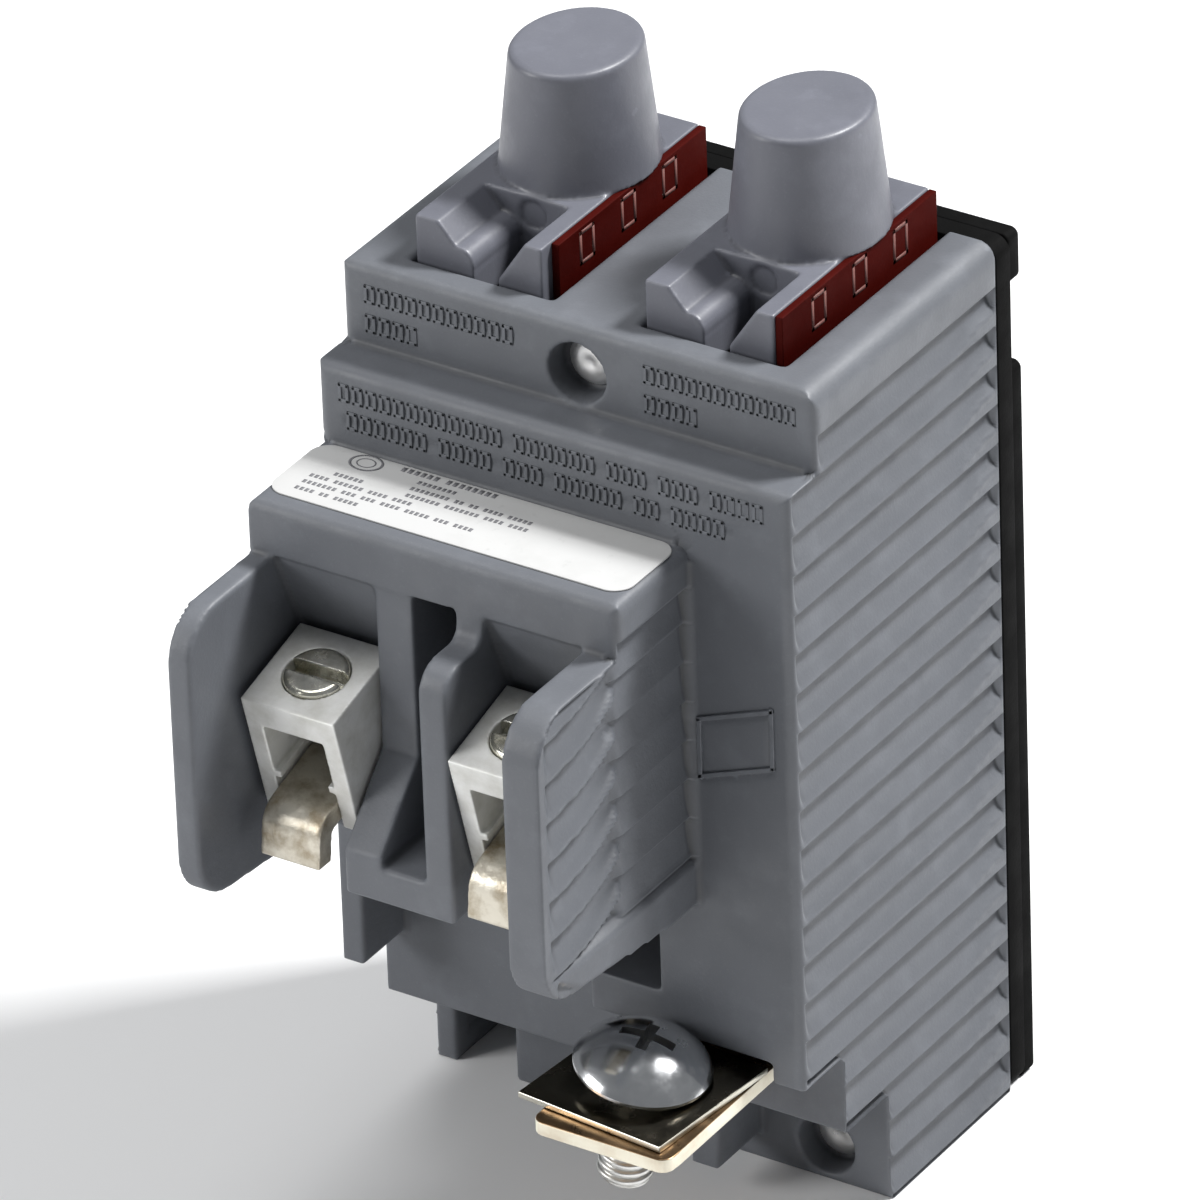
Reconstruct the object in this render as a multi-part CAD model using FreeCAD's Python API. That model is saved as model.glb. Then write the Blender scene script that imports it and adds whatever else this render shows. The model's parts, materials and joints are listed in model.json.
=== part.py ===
"""Twin push-button circuit breaker: moulded case, two sprung buttons, two screw lugs and one line terminal.

All lengths are millimetres. The shapes are drawn with X across the case from its left side, Y backwards
from the upper front face and Z up from the underside, then moved so that the origin lies on the
underside at the middle of the whole breaker's footprint. +Z points to the buttons, -Y to the terminals.
"""
import FreeCAD, Part
import math
import os

V = FreeCAD.Vector
CROSSWISE = V(1, 0, 0)
BACKWARDS = V(0, 1, 0)
UP = V(0, 0, 1)

# Case outline
CASE_WIDTH = 38.0
CASE_BACK = 23.7
CASE_TOP = 68.85
WALL = 1.6
UPPER_LEDGE_Z = 62.5
MAIN_FACE_Y = -3.5
HOOD_FACE_Y = -12.5
HOOD_TOP = 56.3
HOOD_BOTTOM = 52.3
HOOD_RIGHT = 29.8
COLUMN_LEFT = 26.4
COLUMN_BOTTOM = 16.7
TONGUE_LEFT = 20.6
VENT_LEFT = 15.0
VENT = (19.8, 24.8)
FOOT_LEG_X = 35.3
SIDE_STEP_Z = 15.0
LOWER_FACE_Y = 1.8
LOWER_STEP_Z = 8.8
BOTTOM_FACE_Y = 7.6
BOTTOM_FACE_LEFT = 6.7
LUG_WALL_Y = -7.2
LUG_WALL_BOTTOM = 28.0
SLOT_BACK = -1.0

# Ribs down both sides
RIB_PITCH = 3.1
RIB_DEPTH = 0.45
RIB_TOP_Z = 65.3
RIB_COUNT = 21
RIB_INSET = 0.6

# Barriers between and beside the lugs
BARRIER_FACE_Y = -22.9
BARRIER_TOP = 52.1
BARRIER_BOTTOM = 29.6
BARRIER_ROUND = 3.8
LEFT_BARRIER = (0.0, 1.8)
SLANT_BARRIER = (10.1, 13.1)
MIDDLE_BARRIER = (16.7, 18.9)
RIGHT_BARRIER = (26.9, 29.8)
MIDDLE_BARRIER_FACE_Y = -17.5
FIN_TOP = 50.2
FIN_ROUND = 2.2
FIN_COVE = 1.2
BEAM_TOP = 33.2
BEAM_BOTTOM = 30.4

# Cover and rail plates behind the case
COVER_BACK = 25.6
RAIL_BACK = 27.0
COVER_TOP = 68.4
RAIL_INSET = 0.15
RAIL_NOTCH_TOP = 64.4
RAIL_NOTCH_BOTTOM = 57.9
CORNER_ROUND = 1.2

# Partition between the two poles
PARTITION = (18.25, 19.75)
PLAY = 0.05

# Windows and buttons
POLE_PITCH = 18.5
WINDOW = (4.2, 15.8)
WINDOW_FRONT = 2.3
PLATFORM = (4.5, 14.7)
PLATFORM_FRONT = 2.7
PLATFORM_BACK = 23.0
PLATFORM_BOTTOM = 66.4
PLATFORM_TOP = 72.2
FLAG_THICK = 0.6
FLAG_FRONTS = (4.0, 2.9)
POCKET_TOP = (6.3, 13.3)
POCKET_GAP = (9.15, 11.1)
POCKET_SLOPE_END = 68.9
POCKET_BACK = 8.7
ROLL_RADIUS = 1.25
ROLL_CENTRE_Z = 69.3
MARK_RADIUS = 1.2
MARK_AT = (10.2, 70.7)
FLANGE = (3.5, 15.9)
FLANGE_BOTTOM = 64.4
FLANGE_TOP = 67.2
KNOB_X = 10.1
KNOB_Y = 15.0
KNOB_TOP = 81.3
KNOB_BASE_RADII = (5.5, 6.1)
KNOB_TOP_RADII = (4.4, 5.3)
STEM_RADIUS = 2.4
STEM_BOTTOM = 57.0
SEAT_TOP = 54.0
SEAT_BOTTOM = 52.0
SEAT_REACH = 4.3
SEAT_DEPTH = (9.2, 20.5)
STEM_PLAY = 0.3
SPRING_RADIUS = 3.6
SPRING_WIRE = 0.45
SPRING_TURNS = 5

# Lugs and their screws
LUG_PITCH = 16.8
LUG_LEFT = 2.25
LUG_WIDTH = 7.6
LUG_DEPTH = 7.9
LUG_HEIGHT = 10.3
LUG_TOP_WALL = 2.3
LUG_SIDE_WALL = 1.35
LUG_FRONT_Y = -17.7
LUG_TOP_Z = 43.8
LUG_TILT = 15.0
NIB = 0.5
LUG_SCREW_RADIUS = 2.37
LUG_SCREW_RISE = 0.35
LUG_SCREW_LENGTH = 4.0
LUG_SCREW_ROUND = 0.4
LUG_POINT_RADIUS = 1.6
LUG_POINT_LENGTH = 1.4
LUG_SLOT_WIDTH = 1.1
LUG_SLOT_DEPTH = 1.3
RUNNING_GAP = 0.06

# Load straps
STRAP_LEFT = 3.65
STRAP_WIDTH = 4.8
STRAP_THICK = 1.6
STRAP_LIP_BOTTOM = 32.0
STRAP_INNER_Z = 36.6
STRAP_INNER_END = 9.0

# Line terminal
LINE_STRAP = (23.5, 34.6)
LINE_STRAP_FRONT = -16.0
LINE_STRAP_TOP = 15.4
LINE_STRAP_THICK = 1.1
LOCK_PLATE_SIZE = 12.3
LOCK_PLATE_THICK = 0.5
LOCK_PLATE_TURN = -5.5
LINE_SCREW_AT = (28.05, -8.6)
LINE_SCREW_LEAN = 11.0
LINE_SCREW_RADIUS = 2.0
LINE_SCREW_LENGTH = 9.4
LINE_NECK_RADIUS = 1.8
LINE_NECK_LENGTH = 3.7
LINE_HEAD_RADIUS = 4.9
LINE_HEAD_RISE = 2.3
LINE_HEAD_RIM = 0.5
LINE_HEAD_SEAT = 17.0
LINE_HOLE_RADIUS = 2.6

# Switching mechanism
ARM_PIVOT = (12.2, 38.0)
ARM_SWING = 12.0
ARM_THICK = 1.5
ARM_LAYER = (9.5, 13.5)
ARM_BOTTOM = 17.0
ARM_TOP = 43.5
CONTACT_Z = 19.2
CONTACT_RADIUS = 1.8
CONTACT_THICK = 0.85
CONTACT_GAP = 0.1
PIN_RADIUS = 1.2
TAB_THICK = 1.1
BUS_DEPTH = (9.5, 13.5)
BIMETAL_X = 4.8
BIMETAL_THICK = 0.8
BIMETAL_LAYER = (4.0, 8.4)
BIMETAL_TOP = 58.0
YOKE_Z = (42.0, 50.0)
LATCH_PIVOT = (9.0, 50.4)
LATCH_PIN_RADIUS = 1.0
LATCH_LAYER = (4.2, 8.2)
BRAID_RADIUS = 0.9

# Arc chute
CHUTE_X = (6.6, 17.4)
CHUTE_LAYER = (14.4, 22.6)
CHUTE_BOTTOM = 15.6
CHUTE_PLATES = 6
CHUTE_PITCH = 2.4
CHUTE_PLATE_THICK = 0.8
CHUTE_CARD_THICK = 0.8

# Rivets: the y of the face that each is sunk into, and how deep its head lies
RIVET_RADIUS = 1.5
RIVET_HOLE_RADIUS = 2.3
RIVET_HEAD_RADIUS = 1.9
RIVET_HEAD_THICK = 0.7
RIVET_BOSS_RADIUS = 2.9
RIVET_CENTRES = ((19.0, 65.1), (32.5, 2.8), (14.9, 48.5))
RIVET_FACES = (0.0, 7.6, -1.0)
RIVET_SINK = (1.7, 1.7, 0.4)

# Rating label
LABEL_X = (0.4, 29.3)
LABEL_Y = (-11.0, -3.7)
LABEL_THICK = 0.12
LABEL_ROUND = 1.5

FRONT_LIMIT = BARRIER_FACE_Y
ORIGIN_SHIFT = V(-CASE_WIDTH / 2, -(FRONT_LIMIT + RAIL_BACK) / 2, 0)


def block(across, depth, height):
    """A box given by its (low, high) limits along X, Y and Z."""
    size = [pair[1] - pair[0] for pair in (across, depth, height)]
    return Part.makeBox(size[0], size[1], size[2], V(across[0], depth[0], height[0]))


def side_profile(points, across):
    """A solid whose (y, z) outline runs straight across from one x to another."""
    corners = [V(across[0], y, z) for y, z in points]
    face = Part.Face(Part.makePolygon(corners + corners[:1]))
    return face.extrude(CROSSWISE * (across[1] - across[0]))


def front_profile(points, depth):
    """A solid whose (x, z) outline runs straight back from one y to another."""
    corners = [V(x, depth[0], z) for x, z in points]
    face = Part.Face(Part.makePolygon(corners + corners[:1]))
    return face.extrude(BACKWARDS * (depth[1] - depth[0]))


def cross_rod(x, z, radius, depth):
    """A round bar lying along Y."""
    return Part.makeCylinder(radius, depth[1] - depth[0], V(x, depth[0], z), BACKWARDS)


def merge(shapes):
    """One solid from several that touch or overlap."""
    return shapes[0].fuse(shapes[1:]).removeSplitter()


def round_edges(shape, radius, chosen):
    """Fillet every edge that the test accepts."""
    return shape.makeFillet(radius, [edge for edge in shape.Edges if chosen(edge)])


def runs_along(edge, direction):
    """True for a straight edge parallel to the direction."""
    if len(edge.Vertexes) != 2:
        return False
    step = edge.Vertexes[1].Point - edge.Vertexes[0].Point
    return step.cross(direction).Length < 1e-6 * step.Length


def shifted(shape, offset):
    """A copy moved across by the offset."""
    copy = shape.copy()
    copy.translate(CROSSWISE * offset)
    return copy


def case_body():
    """The stepped outside of the case, without hood, barriers or hollows."""
    outline = [
        (CASE_BACK, 0), (CASE_BACK, CASE_TOP), (0, CASE_TOP), (0, UPPER_LEDGE_Z),
        (MAIN_FACE_Y, UPPER_LEDGE_Z), (MAIN_FACE_Y, HOOD_BOTTOM), (LOWER_FACE_Y, HOOD_BOTTOM),
        (LOWER_FACE_Y, LOWER_STEP_Z), (BOTTOM_FACE_Y, LOWER_STEP_Z), (BOTTOM_FACE_Y, 0),
    ]
    body = side_profile(outline, (0, CASE_WIDTH))
    column = block((COLUMN_LEFT, CASE_WIDTH), (MAIN_FACE_Y, LOWER_FACE_Y), (COLUMN_BOTTOM, HOOD_BOTTOM))
    tongue = block((TONGUE_LEFT, HOOD_RIGHT), (MAIN_FACE_Y, LOWER_FACE_Y), (COLUMN_BOTTOM, VENT[0]))
    leg = block((FOOT_LEG_X, CASE_WIDTH), (MAIN_FACE_Y, LOWER_FACE_Y), (SIDE_STEP_Z, COLUMN_BOTTOM))
    left_wall = block(LEFT_BARRIER, (MAIN_FACE_Y, LOWER_FACE_Y), (SIDE_STEP_Z - 0.8, LUG_WALL_BOTTOM))
    rib = block((25.1, 27.3), (LOWER_FACE_Y, BOTTOM_FACE_Y), (2.3, LOWER_STEP_Z))
    return merge([body, column, tongue, leg, left_wall, rib])


def lug_housing():
    """Hood, sloping wall behind the lugs, and the solid above the lower opening."""
    hood = block((0, HOOD_RIGHT), (HOOD_FACE_Y, LOWER_FACE_Y), (HOOD_BOTTOM, HOOD_TOP))
    hood = round_edges(hood, 1.0, lambda edge: runs_along(edge, CROSSWISE)
                       and edge.BoundBox.YMax < HOOD_FACE_Y + 0.1 and edge.BoundBox.ZMin > HOOD_TOP - 0.1)
    behind_lugs = side_profile([
        (HOOD_FACE_Y + 0.3, HOOD_BOTTOM), (LUG_WALL_Y - 1.6, 44.0), (LUG_WALL_Y, 37.5),
        (LUG_WALL_Y, LUG_WALL_BOTTOM), (MAIN_FACE_Y, LUG_WALL_BOTTOM), (MAIN_FACE_Y, VENT[1]),
        (LOWER_FACE_Y, VENT[1]), (LOWER_FACE_Y, HOOD_BOTTOM)], (0, HOOD_RIGHT))
    return [hood, behind_lugs]


def outer_barrier(across):
    """A tall rounded wall beside a lug."""
    wall = side_profile([
        (HOOD_FACE_Y + 1, BARRIER_TOP), (BARRIER_FACE_Y, BARRIER_TOP), (BARRIER_FACE_Y, BARRIER_BOTTOM),
        (LUG_WALL_Y + 1, LUG_WALL_BOTTOM), (LUG_WALL_Y + 1, 40), (HOOD_FACE_Y + 1, HOOD_BOTTOM + 0.5)], across)
    return round_edges(wall, BARRIER_ROUND, lambda edge: runs_along(edge, CROSSWISE)
                       and edge.BoundBox.YMax < BARRIER_FACE_Y + 0.1)


def middle_barrier():
    """The fin on the right of the slot, curved out from the hood."""
    wall = side_profile([
        (HOOD_FACE_Y + 0.4, HOOD_BOTTOM + 0.5), (HOOD_FACE_Y, HOOD_BOTTOM + 0.5), (HOOD_FACE_Y, FIN_TOP),
        (MIDDLE_BARRIER_FACE_Y, FIN_TOP), (MIDDLE_BARRIER_FACE_Y, BEAM_BOTTOM), (LUG_WALL_Y + 1, BEAM_BOTTOM),
        (LUG_WALL_Y + 1, 40)], MIDDLE_BARRIER)
    wall = round_edges(wall, FIN_ROUND, lambda edge: runs_along(edge, CROSSWISE)
                       and edge.BoundBox.YMax < MIDDLE_BARRIER_FACE_Y + 0.1 and edge.BoundBox.ZMin > 50)
    corner = block(MIDDLE_BARRIER, (HOOD_FACE_Y - FIN_COVE, HOOD_FACE_Y), (FIN_TOP, FIN_TOP + FIN_COVE))
    hollow = Part.makeCylinder(FIN_COVE, CASE_WIDTH, V(0, HOOD_FACE_Y - FIN_COVE, FIN_TOP + FIN_COVE), CROSSWISE)
    return merge([wall, corner.cut(hollow)])


def slant_barrier():
    """The post on the left of the slot, which slopes forward to the beam below."""
    return side_profile([
        (HOOD_FACE_Y + 0.1, HOOD_BOTTOM + 0.5), (HOOD_FACE_Y + 0.1, 39.4), (MIDDLE_BARRIER_FACE_Y, 33.9),
        (MIDDLE_BARRIER_FACE_Y, BEAM_BOTTOM), (LUG_WALL_Y + 1, BEAM_BOTTOM), (LUG_WALL_Y + 1, 40),
        (HOOD_FACE_Y + 3, HOOD_BOTTOM + 0.5)], SLANT_BARRIER)


def beam():
    """The bar that joins the feet of the two inner barriers."""
    return block((SLANT_BARRIER[0], MIDDLE_BARRIER[1]), (MIDDLE_BARRIER_FACE_Y, LUG_WALL_Y + 1),
                 (BEAM_BOTTOM, BEAM_TOP))


def rib_grooves(x, inwards, depth, count):
    """Saw-tooth grooves that leave overlapping ribs on a side face."""
    grooves = []
    for index in range(count):
        z = RIB_TOP_Z - index * RIB_PITCH
        points = [(x, z), (x + inwards * RIB_DEPTH, z), (x + inwards * 0.05, z - RIB_PITCH + 0.5),
                  (x - inwards * 1.0, z - RIB_PITCH + 0.5), (x - inwards * 1.0, z)]
        grooves.append(front_profile(points, depth))
    return grooves


def case_hollow():
    """The room inside the case for both poles."""
    inside = (WALL, CASE_WIDTH - WALL)
    main = side_profile([
        (BOTTOM_FACE_Y + WALL, WALL), (CASE_BACK, WALL), (CASE_BACK, CASE_TOP - WALL),
        (WALL, CASE_TOP - WALL), (WALL, 25.0), (LOWER_FACE_Y + WALL, 25.0),
        (LOWER_FACE_Y + WALL, LOWER_STEP_Z + WALL), (BOTTOM_FACE_Y + WALL, LOWER_STEP_Z + WALL)], inside)
    hollows = [main]
    for across in ((LEFT_BARRIER[1], SLANT_BARRIER[1] - WALL), (MIDDLE_BARRIER[0] + WALL, RIGHT_BARRIER[0])):
        hollows.append(side_profile([
            (WALL, 29.8), (LUG_WALL_Y + WALL, 29.8), (LUG_WALL_Y + WALL, 38.0),
            (LUG_WALL_Y, 44.0), (HOOD_FACE_Y + 2.4, 51.4), (HOOD_FACE_Y + 2.4, 54.4), (WALL, 54.4)], across))
    return hollows


def case_cuts():
    """Every opening through the case walls."""
    cuts = case_hollow()
    for offset in (0, POLE_PITCH):
        across = (WINDOW[0] + offset, WINDOW[1] + offset)
        cuts.append(block(across, (WINDOW_FRONT, CASE_BACK), (CASE_TOP - WALL - 1, CASE_TOP + 1)))
    for offset in (0, LUG_PITCH):
        left = STRAP_LEFT + offset
        cuts.append(block((left - 0.2, left + STRAP_WIDTH + 0.2), (LUG_WALL_Y - 2, LUG_WALL_Y + WALL + 1),
                          (35.4, 38.6)))
    cuts.append(block((VENT_LEFT, COLUMN_LEFT), (MAIN_FACE_Y - 1, LOWER_FACE_Y + WALL + 1), VENT))
    cuts.append(block((LINE_STRAP[0] - 0.2, LINE_STRAP[1] + 0.2), (LOWER_FACE_Y - 1, LOWER_FACE_Y + WALL + 1),
                      (LINE_STRAP_TOP - LINE_STRAP_THICK - 0.2, LINE_STRAP_TOP + 0.2)))
    cuts.append(block((LEFT_BARRIER[1], BOTTOM_FACE_LEFT), (BOTTOM_FACE_Y - 1, BOTTOM_FACE_Y + 6),
                      (-1, LOWER_STEP_Z + 0.4)))
    cuts.append(block((SLANT_BARRIER[1], MIDDLE_BARRIER[0]), (HOOD_FACE_Y, SLOT_BACK), (BEAM_TOP, HOOD_BOTTOM)))
    return cuts


def recess_walls():
    """The walls of the recess beside the lower left foot."""
    roof = block((WALL, BOTTOM_FACE_LEFT + WALL), (BOTTOM_FACE_Y, BOTTOM_FACE_Y + 7.6),
                 (LOWER_STEP_Z + 0.4, LOWER_STEP_Z + 2))
    back = block((WALL, BOTTOM_FACE_LEFT + WALL), (BOTTOM_FACE_Y + 6, BOTTOM_FACE_Y + 7.6),
                 (0, LOWER_STEP_Z + 2))
    side = block((BOTTOM_FACE_LEFT, BOTTOM_FACE_LEFT + WALL), (BOTTOM_FACE_Y, BOTTOM_FACE_Y + 7.6),
                 (0, LOWER_STEP_Z + 2))
    return [roof, back, side]


def spring_seats():
    """One shelf per pole, tied to its side wall, that the button's spring stands on."""
    left_shelf = (WALL - 0.1, KNOB_X + SEAT_REACH)
    right_shelf = (KNOB_X + POLE_PITCH - SEAT_REACH, CASE_WIDTH - WALL + 0.1)
    seats = []
    for x, across in ((KNOB_X, left_shelf), (KNOB_X + POLE_PITCH, right_shelf)):
        shelf = block(across, SEAT_DEPTH, (SEAT_BOTTOM, SEAT_TOP))
        hole = Part.makeCylinder(STEM_RADIUS + STEM_PLAY, 6, V(x, KNOB_Y, SEAT_BOTTOM - 2), UP)
        seats.append(shelf.cut(hole))
    return seats


def rivet_bosses():
    """Posts round the rivets, from the front wall back to the cover."""
    bosses = []
    for (x, z), front in zip(RIVET_CENTRES, RIVET_FACES):
        boss = cross_rod(x, z, RIVET_BOSS_RADIUS, (front, CASE_BACK))
        bosses.append(boss.common(block((0, CASE_WIDTH), (front, CASE_BACK), (0, CASE_TOP))))
    return bosses


def rivet_holes():
    """A wide hole for each rivet's head and a narrow one for its shank."""
    holes = []
    for (x, z), front, sink in zip(RIVET_CENTRES, RIVET_FACES, RIVET_SINK):
        holes.append(cross_rod(x, z, RIVET_HOLE_RADIUS, (front - 1.5, front + sink + RIVET_HEAD_THICK)))
        holes.append(cross_rod(x, z, RIVET_RADIUS, (front, COVER_BACK + 1)))
    return holes


def lettering_bars():
    """Plain raised bars where a real case carries moulded words, and an empty frame beside the hood."""
    bars = []
    for left, right in ((1.8, 14.2), (24.4, 36.2)):
        bars.append(block((left, right), (-0.15, 0.1), (66.1, 67.1)))
        bars.append(block((left, left + 3.6), (-0.15, 0.1), (63.9, 64.9)))
    for height, right in ((60.0, 33.0), (58.0, 33.6)):
        bars.append(block((2.0, right), (MAIN_FACE_Y - 0.15, MAIN_FACE_Y + 0.1), (height, height + 1.0)))
    depth = (MAIN_FACE_Y - 0.2, MAIN_FACE_Y + 0.1)
    outer = front_profile([(30.0, 37.8), (36.2, 40.2), (36.2, 45.3), (30.0, 43.0)], depth)
    inner = front_profile([(30.5, 38.5), (35.7, 40.5), (35.7, 44.6), (30.5, 42.6)], depth)
    bars.append(outer.cut(inner))
    return bars


def case():
    """The grey moulded case, open at the back."""
    barriers = [outer_barrier(LEFT_BARRIER), outer_barrier(RIGHT_BARRIER), middle_barrier(),
                slant_barrier(), beam()]
    solid = merge([case_body()] + lug_housing() + barriers)
    grooves = rib_grooves(CASE_WIDTH, -1, (MAIN_FACE_Y + RIB_INSET, CASE_BACK - 0.4), RIB_COUNT)
    grooves += rib_grooves(0, 1, (MAIN_FACE_Y + RIB_INSET, CASE_BACK - 0.4), RIB_COUNT)
    side_ribs = rib_grooves(HOOD_RIGHT, -1, (BARRIER_FACE_Y + 1.6, MAIN_FACE_Y), 12)
    grooves += [groove for groove in side_ribs if groove.BoundBox.ZMax < 54]
    solid = solid.cut(grooves).cut(case_cuts())
    solid = merge([solid] + recess_walls() + spring_seats() + rivet_bosses())
    solid = solid.cut(rivet_holes())
    return merge([solid] + lettering_bars())


def cover():
    """The black plate that closes the back of the case."""
    plate = block((0, CASE_WIDTH), (CASE_BACK, COVER_BACK), (0, COVER_TOP))
    plate = round_edges(plate, CORNER_ROUND, lambda edge: runs_along(edge, BACKWARDS))
    holes = [cross_rod(x, z, RIVET_RADIUS, (CASE_BACK - 1, COVER_BACK + 1)) for x, z in RIVET_CENTRES]
    return plate.cut(holes)


def rail_plate(height):
    """A thin plate on the cover; the gap between two of them takes the mounting rail."""
    plate = block((RAIL_INSET, CASE_WIDTH - RAIL_INSET), (COVER_BACK, RAIL_BACK), height)
    plate = round_edges(plate, CORNER_ROUND / 2, lambda edge: runs_along(edge, BACKWARDS))
    holes = [cross_rod(x, z, RIVET_HEAD_RADIUS + 0.4, (COVER_BACK - 1, RAIL_BACK + 1))
             for x, z in RIVET_CENTRES]
    return plate.cut(holes)


def partition():
    """The insulating sheet between the poles."""
    sheet = side_profile([
        (BOTTOM_FACE_Y + WALL + PLAY, WALL + PLAY), (CASE_BACK - PLAY, WALL + PLAY),
        (CASE_BACK - PLAY, 61.0), (WALL + PLAY, 61.0), (WALL + PLAY, 25.0),
        (LOWER_FACE_Y + WALL + PLAY, 25.0), (LOWER_FACE_Y + WALL + PLAY, LOWER_STEP_Z + WALL + PLAY),
        (BOTTOM_FACE_Y + WALL + PLAY, LOWER_STEP_Z + WALL + PLAY)], PARTITION)
    bus_slot = block((0, CASE_WIDTH), (BUS_DEPTH[0] - 0.2, BUS_DEPTH[1] + 0.2),
                     (LINE_STRAP_TOP - LINE_STRAP_THICK - 0.2, LINE_STRAP_TOP + 0.2))
    return sheet.cut(bus_slot)


def rivets():
    """The hollow-ended rivets that hold case and cover together."""
    pieces = []
    for (x, z), front, sink in zip(RIVET_CENTRES, RIVET_FACES, RIVET_SINK):
        head_front = front + sink
        head = cross_rod(x, z, RIVET_HEAD_RADIUS, (head_front, head_front + RIVET_HEAD_THICK))
        shank = cross_rod(x, z, RIVET_RADIUS - 0.02, (head_front, RAIL_BACK - 0.2))
        tail = cross_rod(x, z, RIVET_HEAD_RADIUS, (COVER_BACK, RAIL_BACK - 0.2))
        pieces.append(merge([head, shank, tail]))
    return Part.makeCompound(pieces)


def label():
    """A blank white label on top of the hood."""
    sheet = block(LABEL_X, LABEL_Y, (HOOD_TOP, HOOD_TOP + LABEL_THICK))
    return round_edges(sheet, LABEL_ROUND, lambda edge: runs_along(edge, UP))


def oval(x, y, z, radii):
    """A closed oval wire, longer along Y."""
    ellipse = Part.Ellipse(V(x, y, z), radii[1], radii[0])
    ellipse.XAxis = BACKWARDS
    return Part.Wire(ellipse.toShape())


def pocket():
    """The V-shaped notch in the front of a platform, open at the front and at the bottom."""
    lowest = PLATFORM_BOTTOM - 1
    outline = [
        (POCKET_TOP[0] - 1, PLATFORM_TOP + 1.2), (POCKET_GAP[0], POCKET_SLOPE_END), (POCKET_GAP[0], lowest),
        (POCKET_GAP[1], lowest), (POCKET_GAP[1], POCKET_SLOPE_END), (POCKET_TOP[1], PLATFORM_TOP),
        (POCKET_TOP[1], PLATFORM_TOP + 1.2)]
    roll = cross_rod(POCKET_GAP[0] - ROLL_RADIUS, ROLL_CENTRE_Z, ROLL_RADIUS, (PLATFORM_FRONT, POCKET_BACK))
    mark = cross_rod(MARK_AT[0], MARK_AT[1], MARK_RADIUS, (POCKET_BACK - 0.1, POCKET_BACK + 0.2))
    return merge([front_profile(outline, (PLATFORM_FRONT - 1, POCKET_BACK)).cut(roll), mark])


def button(offset):
    """Knob, platform with its front pocket, retaining flange and stem, moulded in one."""
    platform = block(PLATFORM, (PLATFORM_FRONT, PLATFORM_BACK), (PLATFORM_BOTTOM, PLATFORM_TOP))
    flange = block(FLANGE, (POCKET_BACK, PLATFORM_BACK), (FLANGE_BOTTOM, FLANGE_TOP))
    knob = Part.makeLoft([oval(KNOB_X, KNOB_Y, PLATFORM_TOP - 0.1, KNOB_BASE_RADII),
                          oval(KNOB_X, KNOB_Y, KNOB_TOP, KNOB_TOP_RADII)], True)
    knob = round_edges(knob, 0.5, lambda edge: edge.BoundBox.ZMin > KNOB_TOP - 0.05)
    stem = Part.makeCylinder(STEM_RADIUS, FLANGE_TOP - STEM_BOTTOM, V(KNOB_X, KNOB_Y, STEM_BOTTOM), UP)
    solid = merge([platform.cut(pocket()), flange, knob, stem])
    return shifted(solid, offset)


def off_flag(front, offset):
    """The red strip on the right of the platform, seen while the button is out."""
    left = PLATFORM[1]
    strip = block((left, left + FLAG_THICK), (front, PLATFORM_BACK), (FLANGE_TOP, PLATFORM_TOP - 0.1))
    return shifted(strip, offset)


def button_spring(offset):
    """The coil that pushes the button out, standing on its seat."""
    height = FLANGE_BOTTOM - SEAT_TOP - 2 * SPRING_WIRE - 0.1
    pitch = height / SPRING_TURNS
    base = V(KNOB_X, KNOB_Y, SEAT_TOP + SPRING_WIRE + 0.05)
    helix = Part.makeHelix(pitch, height, SPRING_RADIUS)
    start = Part.Wire(Part.makeCircle(SPRING_WIRE, V(SPRING_RADIUS, 0, 0), BACKWARDS))
    coil = Part.Wire(helix).makePipeShell([start], True, True)
    coil.translate(base)
    return shifted(coil, offset)


def tilt_lug(shape):
    """Lean a lug part forward about the lug's upper front edge."""
    shape.rotate(V(0, LUG_FRONT_Y, LUG_TOP_Z), CROSSWISE, LUG_TILT)
    return shape


def lug_screw_centre():
    """Middle of the lug's top, before it is tilted."""
    return V(LUG_LEFT + LUG_WIDTH / 2, LUG_FRONT_Y + LUG_DEPTH / 2, LUG_TOP_Z)


def lug(offset):
    """The aluminium box lug that grips strap and wire."""
    across = (LUG_LEFT, LUG_LEFT + LUG_WIDTH)
    depth = (LUG_FRONT_Y, LUG_FRONT_Y + LUG_DEPTH)
    outside = block(across, depth, (LUG_TOP_Z - LUG_HEIGHT, LUG_TOP_Z))
    mouth = block((across[0] + LUG_SIDE_WALL, across[1] - LUG_SIDE_WALL), (depth[0] - 1, depth[1] + 1),
                  (LUG_TOP_Z - LUG_HEIGHT - 1, LUG_TOP_Z - LUG_TOP_WALL))
    hole = Part.makeCylinder(LUG_SCREW_RADIUS + RUNNING_GAP, LUG_TOP_WALL + 2,
                             lug_screw_centre() - UP * (LUG_TOP_WALL + 1), UP)
    nib_height = (LUG_TOP_Z - 7.1, LUG_TOP_Z - 6.5)
    left_nib = block((across[0] + LUG_SIDE_WALL - 0.1, across[0] + LUG_SIDE_WALL + NIB), depth, nib_height)
    right_nib = block((across[1] - LUG_SIDE_WALL - NIB, across[1] - LUG_SIDE_WALL + 0.1), depth, nib_height)
    solid = merge([outside.cut(mouth), left_nib, right_nib]).cut(hole)
    return shifted(tilt_lug(solid), offset)


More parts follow.
